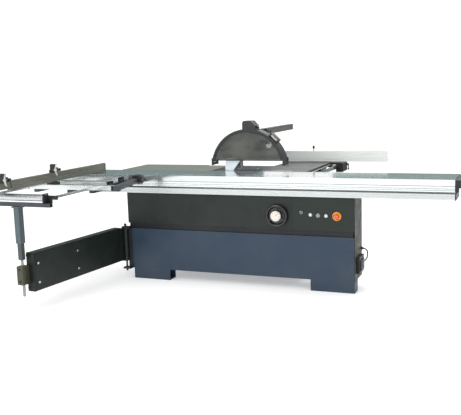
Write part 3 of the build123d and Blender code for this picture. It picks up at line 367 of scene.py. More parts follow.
def lathe(bm, prof, mw, n=40, mat=0, lobes=0, depth=0.0, only=None):
    """Turns (radius, height) points about local Z.  lobes wave the radius, for star knobs."""
    rings = []
    for k, (r, h) in enumerate(prof):
        ring = []
        if r < 1e-6:
            ring = [bm.verts.new(mw @ Vector((0, 0, h)))]
        else:
            for i in range(n):
                a = 2 * math.pi * i / n
                rr = r
                if lobes and (only is None or k in only):
                    rr = r * (1 - depth * (0.5 - 0.5 * math.cos(lobes * a)) ** 1.5)
                ring.append(bm.verts.new(mw @ Vector((rr * math.cos(a), rr * math.sin(a), h))))
        rings.append(ring)
    for a, b in zip(rings, rings[1:]):
        if len(a) == 1 and len(b) == 1:
            continue
        for i in range(n):
            j = (i + 1) % n
            if len(a) == 1:
                f = bm.faces.new((a[0], b[i], b[j]))
            elif len(b) == 1:
                f = bm.faces.new((a[i], b[0], a[j]))
            else:
                f = bm.faces.new((a[i], b[i], b[j], a[j]))
            f.material_index = mat
    return rings


def rbox(bm, lo, hi, r=0.001, mat=0, mw=None, seg=2):
    """Box with rounded edges."""
    b2 = bmesh.new()
    bmesh.ops.create_cube(b2, size=1.0)
    for v in b2.verts:
        v.co = Vector(((lo[i] + hi[i]) / 2 + v.co[i] * (hi[i] - lo[i]) for i in range(3)))
    if r > 0:
        bmesh.ops.bevel(b2, geom=list(b2.edges), offset=r, segments=seg, profile=0.5, affect="EDGES")
    for f in b2.faces:
        f.material_index = mat
    if mw is not None:
        b2.transform(mw)
    me = bpy.data.meshes.new("tmp")
    b2.to_mesh(me)
    b2.free()
    bm.from_mesh(me)
    bpy.data.meshes.remove(me)


def socket_screw(bm, c, d, r=0.0045, h=0.0035, mat=0):
    """Socket-head screw: crowned head, chamfer and a real hexagonal recess."""
    mw = axis_matrix(c, d)
    n = 24
    prof = [(r, 0), (r, h * 0.80), (r * 0.93, h * 0.95), (r * 0.80, h)]
    rings = lathe(bm, prof, mw, n, mat)
    hexr = r * 0.52
    hx = []
    for i in range(n):
        a = 2 * math.pi * i / n
        s = math.cos(math.radians(30)) / math.cos((a % (math.pi / 3)) - math.pi / 6)
        hx.append((hexr * s * math.cos(a), hexr * s * math.sin(a)))
    top = [bm.verts.new(mw @ Vector((x, y, h))) for x, y in hx]
    bot = [bm.verts.new(mw @ Vector((x, y, h * 0.35))) for x, y in hx]
    for i in range(n):
        j = (i + 1) % n
        bm.faces.new((rings[-1][i], top[i], top[j], rings[-1][j])).material_index = mat
        bm.faces.new((top[i], bot[i], bot[j], top[j])).material_index = mat
    bm.faces.new(bot).material_index = mat
    bm.faces.new(list(reversed(rings[0]))).material_index = mat


def hex_bolt(bm, c, d, r=0.009, h=0.006, mat=0):
    """Hexagon head on a washer, with the turned chamfer of the corners."""
    mw = axis_matrix(c, d)
    lathe(bm, [(0, 0), (r * 1.32, 0), (r * 1.32, 0.0012), (r * 1.05, 0.0016), (0, 0.0016)], mw, 28, mat)
    n = 36
    rings = []
    for h0, k in ((0.0016, 1.0), (0.0016 + h * 0.86, 1.0), (0.0016 + h, 0.86)):
        ring = []
        for i in range(n):
            a = 2 * math.pi * i / n
            s = math.cos(math.radians(30)) / math.cos((a % (math.pi / 3)) - math.pi / 6)
            rr = r * (s if k == 1.0 else min(s, k))
            ring.append(bm.verts.new(mw @ Vector((rr * math.cos(a), rr * math.sin(a), h0))))
        rings.append(ring)
    for a, b in zip(rings, rings[1:]):
        for i in range(n):
            j = (i + 1) % n
            bm.faces.new((a[i], b[i], b[j], a[j])).material_index = mat
    bm.faces.new(rings[-1]).material_index = mat


def star_knob(bm, c, d, r=0.017, h=0.022, mat=0, lobes=6):
    mw = axis_matrix(c, d)
    prof = [(0, 0), (r * 0.55, 0), (r * 0.55, h * 0.25), (r * 0.9, h * 0.32), (r, h * 0.45), (r, h * 0.82), (r * 0.9, h * 0.95),
            (r * 0.5, h), (r * 0.42, h * 0.96), (0, h * 0.95)]
    lathe(bm, prof, mw, 72, mat, lobes, 0.17, only={3, 4, 5, 6})


# ---------------------------------------------------------------------------
# handwheels
# ---------------------------------------------------------------------------
def torus(bm, mw, R, r, n=72, k=18, mat=0, flat=1.0):
    rings = []
    for i in range(n):
        a = 2 * math.pi * i / n
        ring = []
        for q in range(k):
            b = 2 * math.pi * q / k
            rr = R + r * math.cos(b)
            ring.append(bm.verts.new(mw @ Vector((rr * math.cos(a), rr * math.sin(a), r * flat * math.sin(b)))))
        rings.append(ring)
    for i in range(n):
        a, b = rings[i], rings[(i + 1) % n]
        for q in range(k):
            t = (q + 1) % k
            bm.faces.new((a[q], b[q], b[t], a[t])).material_index = mat


def handwheel(name, c, d, R, r, body, node_name, dial_r, off=0.0, shaft=0.0):
    """Rim, dished web with three raised spokes, hub, revolving dial with graduations."""
    bm = bmesh.new()
    mw = axis_matrix(c, d)
    torus(bm, mw, R, r, mat=0)
    # dished web under the rim
    n = 96
    web = []
    for rr, h in ((R - r * 0.6, 0.002), (R * 0.80, -0.008), (R * 0.5, -0.010), (R * 0.34, -0.006), (R * 0.30, 0.006),
                  (R * 0.30, -0.030), (0.0, -0.030)):
        web.append((rr, h))
    lathe(bm, web, mw, n, 0)
    lathe(bm, [(R - r * 0.6, -0.004), (R * 0.80, -0.014), (R * 0.5, -0.016), (R * 0.30, -0.016)], mw, n, 0)
    # three raised spokes
    for k in range(3):
        a = math.radians(90 + 120 * k)
        sm = mw @ Matrix.Rotation(a, 4, "Z")
        rbox(bm, (R * 0.28, -0.011, -0.010), (R - r * 0.5, 0.011, 0.001), 0.003, 0, sm)
    # dial
    dz = off
    lathe(bm, [(0, dz + 0.0165), (dial_r * 0.16, dz + 0.0165), (dial_r * 0.18, dz + 0.0180), (dial_r * 0.30, dz + 0.0180),
               (dial_r * 0.33, dz + 0.0160), (dial_r * 0.80, dz + 0.0160), (dial_r * 0.86, dz + 0.0170),
               (dial_r * 0.98, dz + 0.0160), (dial_r, dz + 0.0130), (dial_r, dz), (dial_r * 0.7, dz - 0.004), (0, dz - 0.004)],
          mw, 72, 1)
    for k in range(40):
        a = 2 * math.pi * k / 40
        long = 0.74 if k % 5 == 0 else 0.80
        sm = mw @ Matrix.Rotation(a, 4, "Z")
        rbox(bm, (dial_r * (long - 0.11), -0.0005, dz + 0.0159), (dial_r * 0.78, 0.0005, dz + 0.0163), 0, 2, sm)
    # red pointer and the bezel
    rbox(bm, (0.0, -0.0011, dz + 0.0181), (dial_r * 0.62, 0.0011, dz + 0.0189), 0.0004, 3, mw @ Matrix.Rotation(math.radians(52), 4, "Z"))
    torus(bm, mw @ Matrix.Translation((0, 0, dz + 0.0145)), dial_r * 0.99, 0.0018, 72, 10, 0)
    ob = finish_mesh(bm, name, [GLOSS, DIAL, BLACK, REDB], body)
    return ob


ob = handwheel("rise_wheel_detailed", (0.354, Y(-26), 0.574), (0, -1, 0), 0.076, 0.0098, "rise_wheel", "rise_handwheel", 0.040,
               off=0.006)
bm = bmesh.new()
lathe(bm, [(0, -0.11), (0.0119, -0.11), (0.0119, 0.012), (0.024, 0.014), (0.024, 0.026), (0.018, 0.030), (0, 0.030)],
      axis_matrix((0.354, Y(0), 0.574), (0, -1, 0)), 48)
sh = finish_mesh(bm, "rise_wheel_shaft", STEEL, "rise_wheel")
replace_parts(ob, "rise_handwheel")

tw = handwheel("tilt_wheel_detailed", (0.530, Y(516), 0.646), (1, 0, 0), 0.072, 0.0088, "tilt_wheel", "tilt_handwheel", 0.030,
               off=-0.006)
bm = bmesh.new()
lathe(bm, [(0, -0.102), (0.0196, -0.102), (0.0196, -0.085), (0.0119, -0.084), (0.0119, -0.055), (0.020, -0.053), (0.020, -0.014), (0, -0.014)],
      axis_matrix((0.530, Y(516), 0.646), (1, 0, 0)), 48)
lathe(bm, [(0, 0.0), (0.0045, 0.0), (0.0045, 0.010), (0.008, 0.012), (0.0095, 0.026), (0.0078, 0.040), (0.004, 0.0455), (0, 0.046)],
      axis_matrix((0.530, Y(561), 0.686), (1, 0, 0)), 32, 1)
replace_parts(finish_mesh(bm, "tilt_wheel_shaft", [STEEL, GLOSS], "tilt_wheel"), "tilt_handwheel")

# ---------------------------------------------------------------------------
# control panel
# ---------------------------------------------------------------------------
bm = bmesh.new()
for x, z, r1, r0 in ((0.616, 0.587, 0.0145, 0.0094), (0.736, 0.582, 0.0145, 0.0094), (0.674, 0.583, 0.0160, 0.0122), (0.543, 0.602, 0.0125, 0.0082)):
    mw = axis_matrix((x, Y(0), z), (0, -1, 0))
    lathe(bm, [(r0, 0.0), (r0, 0.0040), (r0 + 0.0008, 0.0050), (r1 - 0.0016, 0.0046), (r1, 0.0028), (r1, 0.0)], mw, 56, 0)
finish_mesh(bm, "bezels_bright", [STEEL], "base")
bm = bmesh.new()
mw = axis_matrix((0.818, Y(0), 0.581), (0, -1, 0))
lathe(bm, [(0.0125, 0.0), (0.0125, 0.0048), (0.018, 0.0052), (0.031, 0.0052), (0.0331, 0.0042), (0.0334, 0.0)], mw, 72, 0)
for k in range(3):
    a = math.radians(120 * k + 30)
    for t in range(7):
        sm = mw @ Matrix.Rotation(a + t * 0.11, 4, "Z")
        rbox(bm, (0.0245, -0.0013, 0.0050), (0.0280, 0.0013, 0.0056), 0.0002, 1, sm)
finish_mesh(bm, "estop_surround", [YELL, BLACK], "base")
bm = bmesh.new()
mw = axis_matrix((0.543, Y(0), 0.602), (0, -1, 0))
lathe(bm, [(0.0080, 0.002), (0.0080, 0.0052), (0.0072, 0.0078), (0.0045, 0.0094), (0, 0.0099)], mw, 40, 0)
finish_mesh(bm, "lamp_lens", LAMP, "base")


def push_button(name, x, z, node_name, mat, body):
    bm = bmesh.new()
    mw = axis_matrix((x, Y(0), z), (0, -1, 0))
    lathe(bm, [(0, -0.0195), (0.0088, -0.0195), (0.0088, 0.0060), (0.0083, 0.0082), (0.0070, 0.0090), (0.0058, 0.0084),
               (0.0030, 0.0079), (0, 0.0078)], mw, 48, 0)
    ob = finish_mesh(bm, name, mat, body)
    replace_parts(ob, node_name)


push_button("start_cap", 0.616, 0.587, "start_button", WHITEB, "start")
push_button("stop_cap", 0.736, 0.582, "stop_button", WHITEB, "stop")
bm = bmesh.new()
mw = axis_matrix((0.674, Y(0), 0.583), (0, -1, 0))
lathe(bm, [(0, -0.0195), (0.0088, -0.0195), (0.0088, 0.0036), (0.0118, 0.0040), (0.0118, 0.0062), (0.0106, 0.0074), (0, 0.0074)], mw, 48, 0)
rbox(bm, (0.6702, Y(-19.8), 0.5725), (0.6778, Y(-6.5), 0.5935), 0.0026, 0, None, 4)
rbox(bm, (0.6734, Y(-20.0), 0.5850), (0.6746, Y(-19.4), 0.5925), 0.0002, 1)
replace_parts(finish_mesh(bm, "selector_detailed", [GREYB, WHITEB], "selector"), "selector_knob")
bm = bmesh.new()
mw = axis_matrix((0.818, Y(0), 0.581), (0, -1, 0))
lathe(bm, [(0, -0.0215), (0.0118, -0.0215), (0.0118, 0.0170)], mw, 40, 1)
lathe(bm, [(0.0110, 0.0160), (0.0160, 0.0168), (0.0196, 0.0195), (0.0199, 0.0235), (0.0186, 0.0285), (0.0150, 0.0322),
           (0.0090, 0.0338), (0, 0.0340)], mw, 64, 0)
for k in range(3):
    a = math.radians(120 * k)
    for t in range(8):
        sm = mw @ Matrix.Rotation(a + t * 0.14, 4, "Z")
        rbox(bm, (0.0100, -0.0009, 0.0325), (0.0124, 0.0009, 0.0339), 0.0002, 2, sm)
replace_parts(finish_mesh(bm, "estop_mushroom", [REDB, GLOSS, WHITEB], "estop"), "emergency_stop")

# ---------------------------------------------------------------------------
# screws and bolts of the base
# ---------------------------------------------------------------------------
bm = bmesh.new()
for z in (0.482, 0.704):
    for x in (-0.935, -0.60, -0.25, 0.10, 0.455, 0.490, 0.932):
        socket_screw(bm, (x, Y(0), z), (0, -1, 0), 0.0042, 0.0022)
for z in (0.110, 0.400):
    for x in (-0.925, 0.925):
        socket_screw(bm, (x, Y(0), z), (0, -1, 0), 0.0040, 0.0022)
for z in (0.110, 0.30, 0.50, 0.70):
    for f in (20, 236):
        if abs(z - 0.30) < 0.01 and f > 200:
            continue
        socket_screw(bm, (0.951, Y(f), z), (1, 0, 0), 0.0042, 0.0022)
finish_mesh(bm, "cover_screws", BLACK, "base")

bm = bmesh.new()
for f in (100, 182):
    for z in (0.150, 0.248):
        socket_screw(bm, (0.975, Y(f), z), (1, 0, 0), 0.0035, 0.0022)
# cable gland nuts of the power box
lathe(bm, [(0.0049, 0.0), (0.0125, 0.0), (0.0125, 0.0060), (0.0110, 0.0075), (0.0085, 0.0080), (0.0072, 0.0160), (0.0049, 0.0190)],
      axis_matrix((0.9512, Y(232), 0.300), (1, 0, 0)), 36, 0)
lathe(bm, [(0.0049, 0.0), (0.0115, 0.0), (0.0115, 0.0050), (0.0095, 0.0062), (0.0072, 0.0068), (0.0066, 0.0130), (0.0049, 0.0150)],
      axis_matrix((0.963, Y(214.2), 0.196), (0, 1, 0)), 36, 0)
# box lid rib and catch
rbox(bm, (0.9750, Y(84), 0.160), (0.9838, Y(186), 0.232), 0.003, 1)
for z in (0.172, 0.184, 0.196, 0.208, 0.220):
    rbox(bm, (0.9830, Y(96), z - 0.0015), (0.9848, Y(174), z + 0.0015), 0.0006, 1)
finish_mesh(bm, "inlet_details", [PLAST, BLACK], "base")

# inlet cable: one smooth line from the gland, bulging out and back into the box
pts = [(959, 232, 300), (977, 232, 299), (993, 234, 288), (999, 237, 266), (997, 240, 240), (989, 242, 218), (975, 240, 202), (963, 222, 196)]
cu = bpy.data.curves.new("cable", "CURVE")
cu.dimensions = "3D"
sp = cu.splines.new("NURBS")
sp.points.add(len(pts) - 1)
for p_, (x, f, z) in zip(sp.points, pts):
    p_.co = (x / 1000, Y(f), z / 1000, 1)
sp.order_u = 3
sp.use_endpoint_u = True
cu.bevel_depth = 0.0045
cu.bevel_resolution = 6
cu.resolution_u = 12
cu.use_fill_caps = True
cable = bpy.data.objects.new("inlet_lead", cu)
bpy.context.scene.collection.objects.link(cable)
cu.materials.append(RUBB)
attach(cable, "base")
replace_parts(cable, "inlet_cable")

# louvres on the rear cabinet
bm = bmesh.new()
for x in (-0.04, 0.24):
    for k in range(9):
        z = 0.30 + k * 0.022
        b2 = axis_matrix((x, Y(850), z), (0, 1, 0))
        rbox(bm, (-0.11 + x, Y(849.5), z - 0.0035), (0.11 + x, Y(853.5), z + 0.0035), 0.0016, 0)
finish_mesh(bm, "rear_louvres", BLUE, "base")
bm = bmesh.new()
for x0, x1, y, z in ((-0.405, -0.225, 850, 0.270), (-0.405, -0.225, 850, 0.330), (-0.405, -0.225, 850, 0.690), (-0.405, -0.225, 850, 0.750)):
    for x in (x0 + 0.015, x1 - 0.015):
        hex_bolt(bm, (x, Y(872), z), (0, 1, 0), 0.0085, 0.0055)
finish_mesh(bm, "post_bolts", STEEL, "base")

# table insert screws and the machine scales
bm = bmesh.new()
for x in (-0.288, -0.02, 0.348):
    for f in (359, 424):
        lathe(bm, [(0.0052, 0.0), (0.0050, 0.0003), (0.0036, 0.0003), (0.0030, 0.0002), (0.0030, 0.00012), (0, 0.00012)],
              axis_matrix((x, Y(f), 0.870), (0, 0, 1)), 28)
finish_mesh(bm, "insert_screws", BLACK, "base")


def scale_mat(name, axis, base=srgb(214, 214, 200)):
    """Ruler: a tick each 10 mm, a longer one each 50 mm, worked out from position along the piece."""
    mt = bpy.data.materials.new(name)
    mt.use_nodes = True
    nt = mt.node_tree
    p = nt.nodes["Principled BSDF"]
    tc = node(nt, "ShaderNodeTexCoord")
    sep = node(nt, "ShaderNodeSeparateXYZ")
    nt.links.new(tc.outputs["Object"], sep.inputs[0])
    s = sep.outputs[axis]
    w = sep.outputs[1 - axis]
    t10 = math_(nt, "LESS_THAN", math_(nt, "FRACT", math_(nt, "MULTIPLY", math_(nt, "ADD", s, 5.0), 100.0)), 0.12)
    t50 = math_(nt, "LESS_THAN", math_(nt, "FRACT", math_(nt, "MULTIPLY", math_(nt, "ADD", s, 5.0), 20.0)), 0.04)
    n = noise(nt, tc.outputs["Object"], 40.0, 4, 0.6)
    col = mixc(nt, maprange(nt, n, 0.3, 0.7, 0, 1), tuple(c * 0.92 for c in base[:3]) + (1,), base)
    col = mixc(nt, math_(nt, "MAXIMUM", math_(nt, "MULTIPLY", t10, 0.75), t50), col, srgb(25, 25, 25))
    nt.links.new(col, p.inputs["Base Color"])
    nt.links.new(maprange(nt, n, 0.3, 0.7, 0.30, 0.42), p.inputs["Roughness"])
    return mt


SC_X, SC_Y = scale_mat("scale_x", 0), scale_mat("scale_y", 1)
bm = bmesh.new()
rbox(bm, (-1.306, Y(-1040), 0.9420), (-1.295, Y(192), 0.9424), 0.0001, 0)
finish_mesh(bm, "fence_scale", SC_Y, "cross_fence")
bm = bmesh.new()
rbox(bm, (0.4868, Y(392), 0.8515), (0.5000, Y(1075), 0.8519), 0.0001, 0)
finish_mesh(bm, "rail_scale", SC_Y, "base")

# ---------------------------------------------------------------------------
# sliding table and beam: end-cap screws
# ---------------------------------------------------------------------------
bm = bmesh.new()
for f, z in ((-14, 0.855), (90, 0.858), (220, 0.858), (325, 0.862), (-10, 0.824), (280, 0.826)):
    socket_screw(bm, (1.697, Y(f), z), (1, 0, 0), 0.0045, 0.0018)
for f, z in ((-10, 0.860), (120, 0.860), (320, 0.862), (-10, 0.795), (240, 0.790)):
    socket_screw(bm, (-1.508, Y(f), z), (-1, 0, 0), 0.0045, 0.0018)
finish_mesh(bm, "cap_screws", STEEL, "slide")

# wiper lip along the sliding table's lower edge
bm = bmesh.new()
rbox(bm, (-1.490, Y(-25.0), 0.7785), (1.653, Y(-19.0), 0.7822), 0.0007, 0)
finish_mesh(bm, "table_wiper", RUBB, "slide")

# ---------------------------------------------------------------------------
# outrigger: caps, star knobs, bolts
# ---------------------------------------------------------------------------
bm = bmesh.new()
star_knob(bm, (-0.7845, Y(-58), 0.831), (1, 0, 0), 0.0185, 0.024)
star_knob(bm, (-1.420, Y(-50), 0.834), (0, 0, -1), 0.0185, 0.026)
finish_mesh(bm, "outrigger_knobs", GLOSS, "slide")
bm = bmesh.new()
for x in (-1.482, -1.170, -0.972):
    for f in (-95, -130, -365, -400):
        hex_bolt(bm, (x, Y(f), 0.7820), (0, 0, -1), 0.0065, 0.0045)
for x in (-1.482, -1.170, -0.972):
    socket_screw(bm, (x, Y(-32), 0.8215), (0, 0, 1), 0.005, 0.004)
for x in (-1.511, ):
    for f, z in ((-112, 0.842), (-382, 0.842), (-530, 0.832)):
        socket_screw(bm, (x + 0.0012, Y(f), z), (-1, 0, 0), 0.0048, 0.0018)
for f, x in ((-112, -0.928), (-382, -0.868)):
    socket_screw(bm, (x, Y(f), 0.842), (1, 0, 0), 0.0048, 0.0018)
socket_screw(bm, (-0.936, Y(-1115), 0.858), (1, 0, 0), 0.005, 0.003)
socket_screw(bm, (-1.488, Y(-1115), 0.858), (-1, 0, 0), 0.005, 0.003)
finish_mesh(bm, "outrigger_bolts", STEEL, "slide")

# swivel pin cover of the crosscut fence
bm = bmesh.new()
lathe(bm, [(0.0, 0.0), (0.013, 0.0), (0.013, 0.004), (0.011, 0.006), (0.0, 0.006)], axis_matrix((-1.290, Y(-560), 0.862), (0, -1, 0)), 32)
finish_mesh(bm, "swivel_cover", GLOSS, "slide")

# loading roller: fluted sleeve with end collars
bm = bmesh.new()
mw = axis_matrix((-1.474, Y(-1115), 0.836), (1, 0, 0))
prof = [(0.0, 0.0), (0.0225, 0.0), (0.0245, 0.0015), (0.0248, 0.004), (0.0248, 0.012), (0.0238, 0.0126), (0.0238, 0.0150), (0.0249, 0.0156)]
prof += [(0.0249, 0.5084), (0.0238, 0.5090), (0.0238, 0.5114), (0.0248, 0.5120), (0.0248, 0.520), (0.0245, 0.5225), (0.0225, 0.524), (0, 0.524)]
lathe(bm, prof, mw, 56)
lathe(bm, [(0.0079, -0.013), (0.0079, 0.0), ], mw, 24)
lathe(bm, [(0.0, -0.013), (0.0079, -0.013)], mw, 24)
lathe(bm, [(0.0079, 0.524), (0.0079, 0.537), (0, 0.537)], mw, 24)
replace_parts(finish_mesh(bm, "roller_detailed", STEEL, "roller"), "loading_roller")


# ---------------------------------------------------------------------------
# flip stops
# ---------------------------------------------------------------------------
FNX = -1.270


def flip_stop(tag, yc, zt, body_c, body_f, node_c, node_f):
    y = lambda d: Y(yc + d)
    bm = bmesh.new()
    rbox(bm, (FNX - 0.042, y(-19), zt), (FNX + 0.002, y(28), zt + 0.0225), 0.003, 0, None, 3)
    rbox(bm, (FNX - 0.022, y(-18), zt - 0.005), (FNX - 0.018, y(20), zt + 0.001), 0.0004, 1)
    rbox(bm, (FNX - 0.034, y(-19), zt + 0.020), (FNX + 0.010, y(14), zt + 0.066), 0.006, 0, None, 4)
    rbox(bm, (FNX + 0.000, y(-19), zt + 0.004), (FNX + 0.016, y(28), zt + 0.040), 0.004, 0, None, 3)
    rbox(bm, (FNX + 0.013, y(-19), zt + 0.008), (FNX + 0.031, y(-9.3), zt + 0.040), 0.003, 0, None, 3)
    lathe(bm, [(0, 0), (0.0049, 0), (0.0049, 0.008)], axis_matrix((FNX + 0.015, y(18), zt + 0.022), (1, 0, 0)), 24, 1)
    star_knob(bm, (FNX + 0.0215, y(18), zt + 0.022), (1, 0, 0), 0.0129, 0.0165, 2, 5)
    for dy in (-12, 7):
        socket_screw(bm, (FNX - 0.026, y(dy), zt + 0.0655), (0, 0, 1), 0.0033, 0.003, 1)
    # magnifier window over the scale
    rbox(bm, (FNX - 0.040, y(27), zt + 0.006), (FNX - 0.012, y(34), zt + 0.010), 0.0012, 3)
    ob = finish_mesh(bm, "stop_body_" + tag, [BLACK, STEEL, GLOSS, LAMP], body_c)
    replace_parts(ob, node_c)
    # finger: hub on its pivot, a cranked bar, and a crescent plate that thins towards both tips
    px, pz = FNX + 0.022, zt + 0.022
    bm = bmesh.new()
    mw = axis_matrix((px, y(-20.4), pz), (0, -1, 0))
    lathe(bm, [(0, -0.0105), (0.0028, -0.0105), (0.0028, 0.0), (0.0098, 0.0), (0.0100, 0.0012), (0.0100, 0.0088), (0.0090, 0.0098), (0.0040, 0.0098),
               (0.0032, 0.0086), (0, 0.0086)], mw, 40, 0)
    rbox(bm, (px + 0.004, y(-30.2), pz - 0.008), (px + 0.016, y(-20.4), pz + 0.008), 0.0015, 0)
    rbox(bm, (px + 0.0105, y(-36), pz - 0.008), (px + 0.016, y(-20.4), pz + 0.008), 0.0012, 0)
    rings = []
    n = 40
    for i in range(n + 1):
        t = i / n
        a = math.radians(224.5 - 89 * t)
        w = 0.0064 * (0.30 + 0.70 * math.sin(math.pi * (0.04 + 0.92 * t)) ** 0.6)
        ring = []
        for dr, xx in ((-w, 0.0112), (-w * 0.9, 0.0106), (w * 0.9, 0.0106), (w, 0.0112), (w, 0.0153), (w * 0.9, 0.0159), (-w * 0.9, 0.0159), (-w, 0.0153)):
            r_ = 0.0634 + dr
            ring.append(bm.verts.new(Vector((px + xx, y(24) + r_ * math.cos(a), zt + 0.026 + r_ * math.sin(a)))))
        rings.append(ring)
    for a_, b_ in zip(rings, rings[1:]):
        for k in range(8):
            bm.faces.new((a_[k], b_[k], b_[(k + 1) % 8], a_[(k + 1) % 8]))
    bm.faces.new(rings[0])
    bm.faces.new(list(reversed(rings[-1])))
    ob = finish_mesh(bm, "stop_arc_" + tag, LGREY, body_f)
    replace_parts(ob, node_f)


flip_stop("a", -530, 0.942, "stop_a", "finger_a", "stop_carriage_a", "stop_finger_a")
flip_stop("b", -1125, 0.934, "stop_b", "finger_b", "stop_carriage_b", "stop_finger_b")

# ---------------------------------------------------------------------------
# swing arm: weld beads, bolts, hinge caps, end block
# ---------------------------------------------------------------------------
ROT = Matrix.Translation((PXm, PYm, 0)) @ Matrix.Rotation(math.radians(-6.2), 4, "Z")


def at_arm(n_, u_, z_):
    return ROT @ Vector((n_ / 1000, -u_ / 1000, z_ / 1000))


NDIR = (ROT.to_3x3() @ Vector((1, 0, 0)))
UDIR = (ROT.to_3x3() @ Vector((0, -1, 0)))
bm = bmesh.new()
for u, z in ((580, 354), (580, 215), (1012, 351), (1012, 211)):
    hex_bolt(bm, at_arm(-27.2, u, z), NDIR, 0.0075, 0.0040)
finish_mesh(bm, "arm_bolts", STEEL, "arm")
bm = bmesh.new()
for u, z in ((1056, 172), (1056, 408)):
    for n_ in (-90, -40):
        hex_bolt(bm, at_arm(n_, u, z), UDIR, 0.0065, 0.0040)
for z in (230, 316):
    hex_bolt(bm, at_arm(-105, 1122, z), UDIR, 0.0065, 0.0045)
finish_mesh(bm, "end_plate_bolts", BLACK, "arm_inner")
bm = bmesh.new()


def bead(bm, a, b, r=0.0028, step=0.0045, mat=0):
    """Weld bead: overlapping ripples along a line."""
    a, b = Vector(a), Vector(b)
    L = (b - a).length
    n = max(2, int(L / step))
    mw = axis_matrix(a, b - a)
    prof = [(0.0, 0.0)]
    for i in range(n):
        h = L * i / n
        prof += [(r * 0.82, h + L / n * 0.08), (r, h + L / n * 0.5), (r * 0.86, h + L / n * 0.9)]
    prof.append((0.0, L))
    lathe(bm, prof, mw, 10, mat)


for z in (152, 424):
    bead(bm, at_arm(-32, 24, z), at_arm(-4, 8, z))
bead(bm, at_arm(-33, 25, 155), at_arm(-33, 25, 421))
finish_mesh(bm, "arm_welds", ARMM, "arm")
bm = bmesh.new()
for z0, z1, d in ((458, 464, 1),):
    lathe(bm, [(0, 0), (0.0118, 0.0), (0.0118, 0.004), (0.0095, 0.006), (0, 0.006)], axis_matrix((PXm, PYm, z0 / 1000), (0, 0, d)), 36)
for z in (0.135, 0.240, 0.345, 0.400):
    hex_bolt(bm, (-0.938, Y(-8), z), (0, -1, 0), 0.0062, 0.0040)
finish_mesh(bm, "hinge_bolts", BLACK, "base")

# ---------------------------------------------------------------------------
# overhead guard
# ---------------------------------------------------------------------------
HCX, HZC, HR = -0.010, 0.896, 0.319
HY0, HY1 = 345.0, 453.0


def arch_pt(r, a):
    """Point on the guard's arch: a degrees from the top, positive towards +X."""
    return (HCX + r * math.sin(math.radians(a)), HZC + r * math.cos(math.radians(a)))


bm = bmesh.new()
for a in range(-72, 73, 12):
    x, z = arch_pt(HR - 0.0120, a)
    for f, d in ((HY0, -1), (HY1, 1)):
        mw = axis_matrix((x, Y(f), z), (0, d, 0))
        lathe(bm, [(0.0052, 0.0), (0.0050, 0.0012), (0.0036, 0.0024), (0.0015, 0.0029), (0, 0.0030)], mw, 24)
finish_mesh(bm, "guard_rivets", HOODG, "hood")

# black gasket that holds each window in the frame
bm = bmesh.new()
for f0, f1 in ((HY0 - 0.6, HY0 + 1.0), (HY1 - 1.0, HY1 + 0.6)):
    pr = []
    n = 60
    amax = math.degrees(math.acos((0.966 - HZC) / (HR - 0.0222)))
    for i in range(n + 1):
        a = -amax + 2 * amax * i / n
        ro, ri = HR - 0.0205, HR - 0.0240
        xo, zo = arch_pt(ro, a)
        xi, zi = arch_pt(ri, a)
        pr.append([bm.verts.new((xo, Y(f0), zo)), bm.verts.new((xi, Y(f0), zi)), bm.verts.new((xi, Y(f1), zi)), bm.verts.new((xo, Y(f1), zo))])
    for p0, p1 in zip(pr, pr[1:]):
        for k in range(4):
            bm.faces.new((p0[k], p1[k], p1[(k + 1) % 4], p0[(k + 1) % 4]))
    bm.faces.new(pr[0])
    bm.faces.new(list(reversed(pr[-1])))
finish_mesh(bm, "guard_gasket", RUBB, "hood")

# handle: olive bracket, soft grey grip, locking knob
hx, hz = arch_pt(HR, 43)
bm = bmesh.new()
HM = Matrix.Translation((hx, Y(387), hz)) @ Matrix.Rotation(math.radians(43), 4, "Y")
for sx in (-1, 1):
    rbox(bm, (sx * 0.0437 - 0.0076 * (sx > 0), -0.0295, -0.008), (sx * 0.0437 + 0.0076 * (sx < 0), 0.0295, 0.0310), 0.003, 0, HM, 3)
rbox(bm, (-0.0437, -0.0295, 0.0262), (0.0437, 0.0295, 0.0318), 0.0025, 0, HM, 3)
rbox(bm, (-0.0357, -0.0225, 0.005), (0.0357, 0.0225, 0.0240), 0.0078, 1, HM, 5)
for k in range(5):
    rbox(bm, (-0.027 + 0.0125 * k, -0.0229, 0.0048), (-0.0235 + 0.0125 * k, 0.0229, 0.0243), 0.0011, 1, HM, 2)
KM = Matrix.Translation((0.066, Y(387), 1.222)) @ Matrix.Rotation(math.radians(45), 4, "Y")
for v in (0,):
    c = KM @ Vector((0, 0, 0.003))
    star_knob(bm, c, KM.to_3x3() @ Vector((0, 0, 1)), 0.0138, 0.0155, 2, 6)
    lathe(bm, [(0.0048, -0.008), (0.0048, 0.004)], KM, 24, 3)
ob = finish_mesh(bm, "guard_grip", [OLIVEF, LGREY, GLOSS, STEEL], "hood")
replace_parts(ob, "guard_handle")

# hose spigot ring on the guard, and top-block screws
bm = bmesh.new()
torus(bm, axis_matrix((0.130, Y(512.6), 1.080), (0, 1, 0)), 0.0380, 0.0022, 48, 10)
for x in (-0.026, 0.012):
    for f in (358, 438):
        socket_screw(bm, (x, Y(f), 1.2795), (0, 0, 1), 0.0042, 0.0009)
finish_mesh(bm, "guard_top_details", HOODG, "hood")
for z in (0.0,):
    bm = bmesh.new()
    # lifting guide: two bright guide rods edges and a stop screw
    for sx in (-1, 1):
        rbox(bm, (-0.050 + sx * 0.0435 - 0.0015, Y(469), 1.015), (-0.050 + sx * 0.0435 + 0.0015, Y(478), 1.199), 0.0006, 0)
    socket_screw(bm, (-0.050, Y(473), 1.2040), (0, 0, 1), 0.006, 0.004)
    finish_mesh(bm, "guide_details", STEEL, "guard_boom")

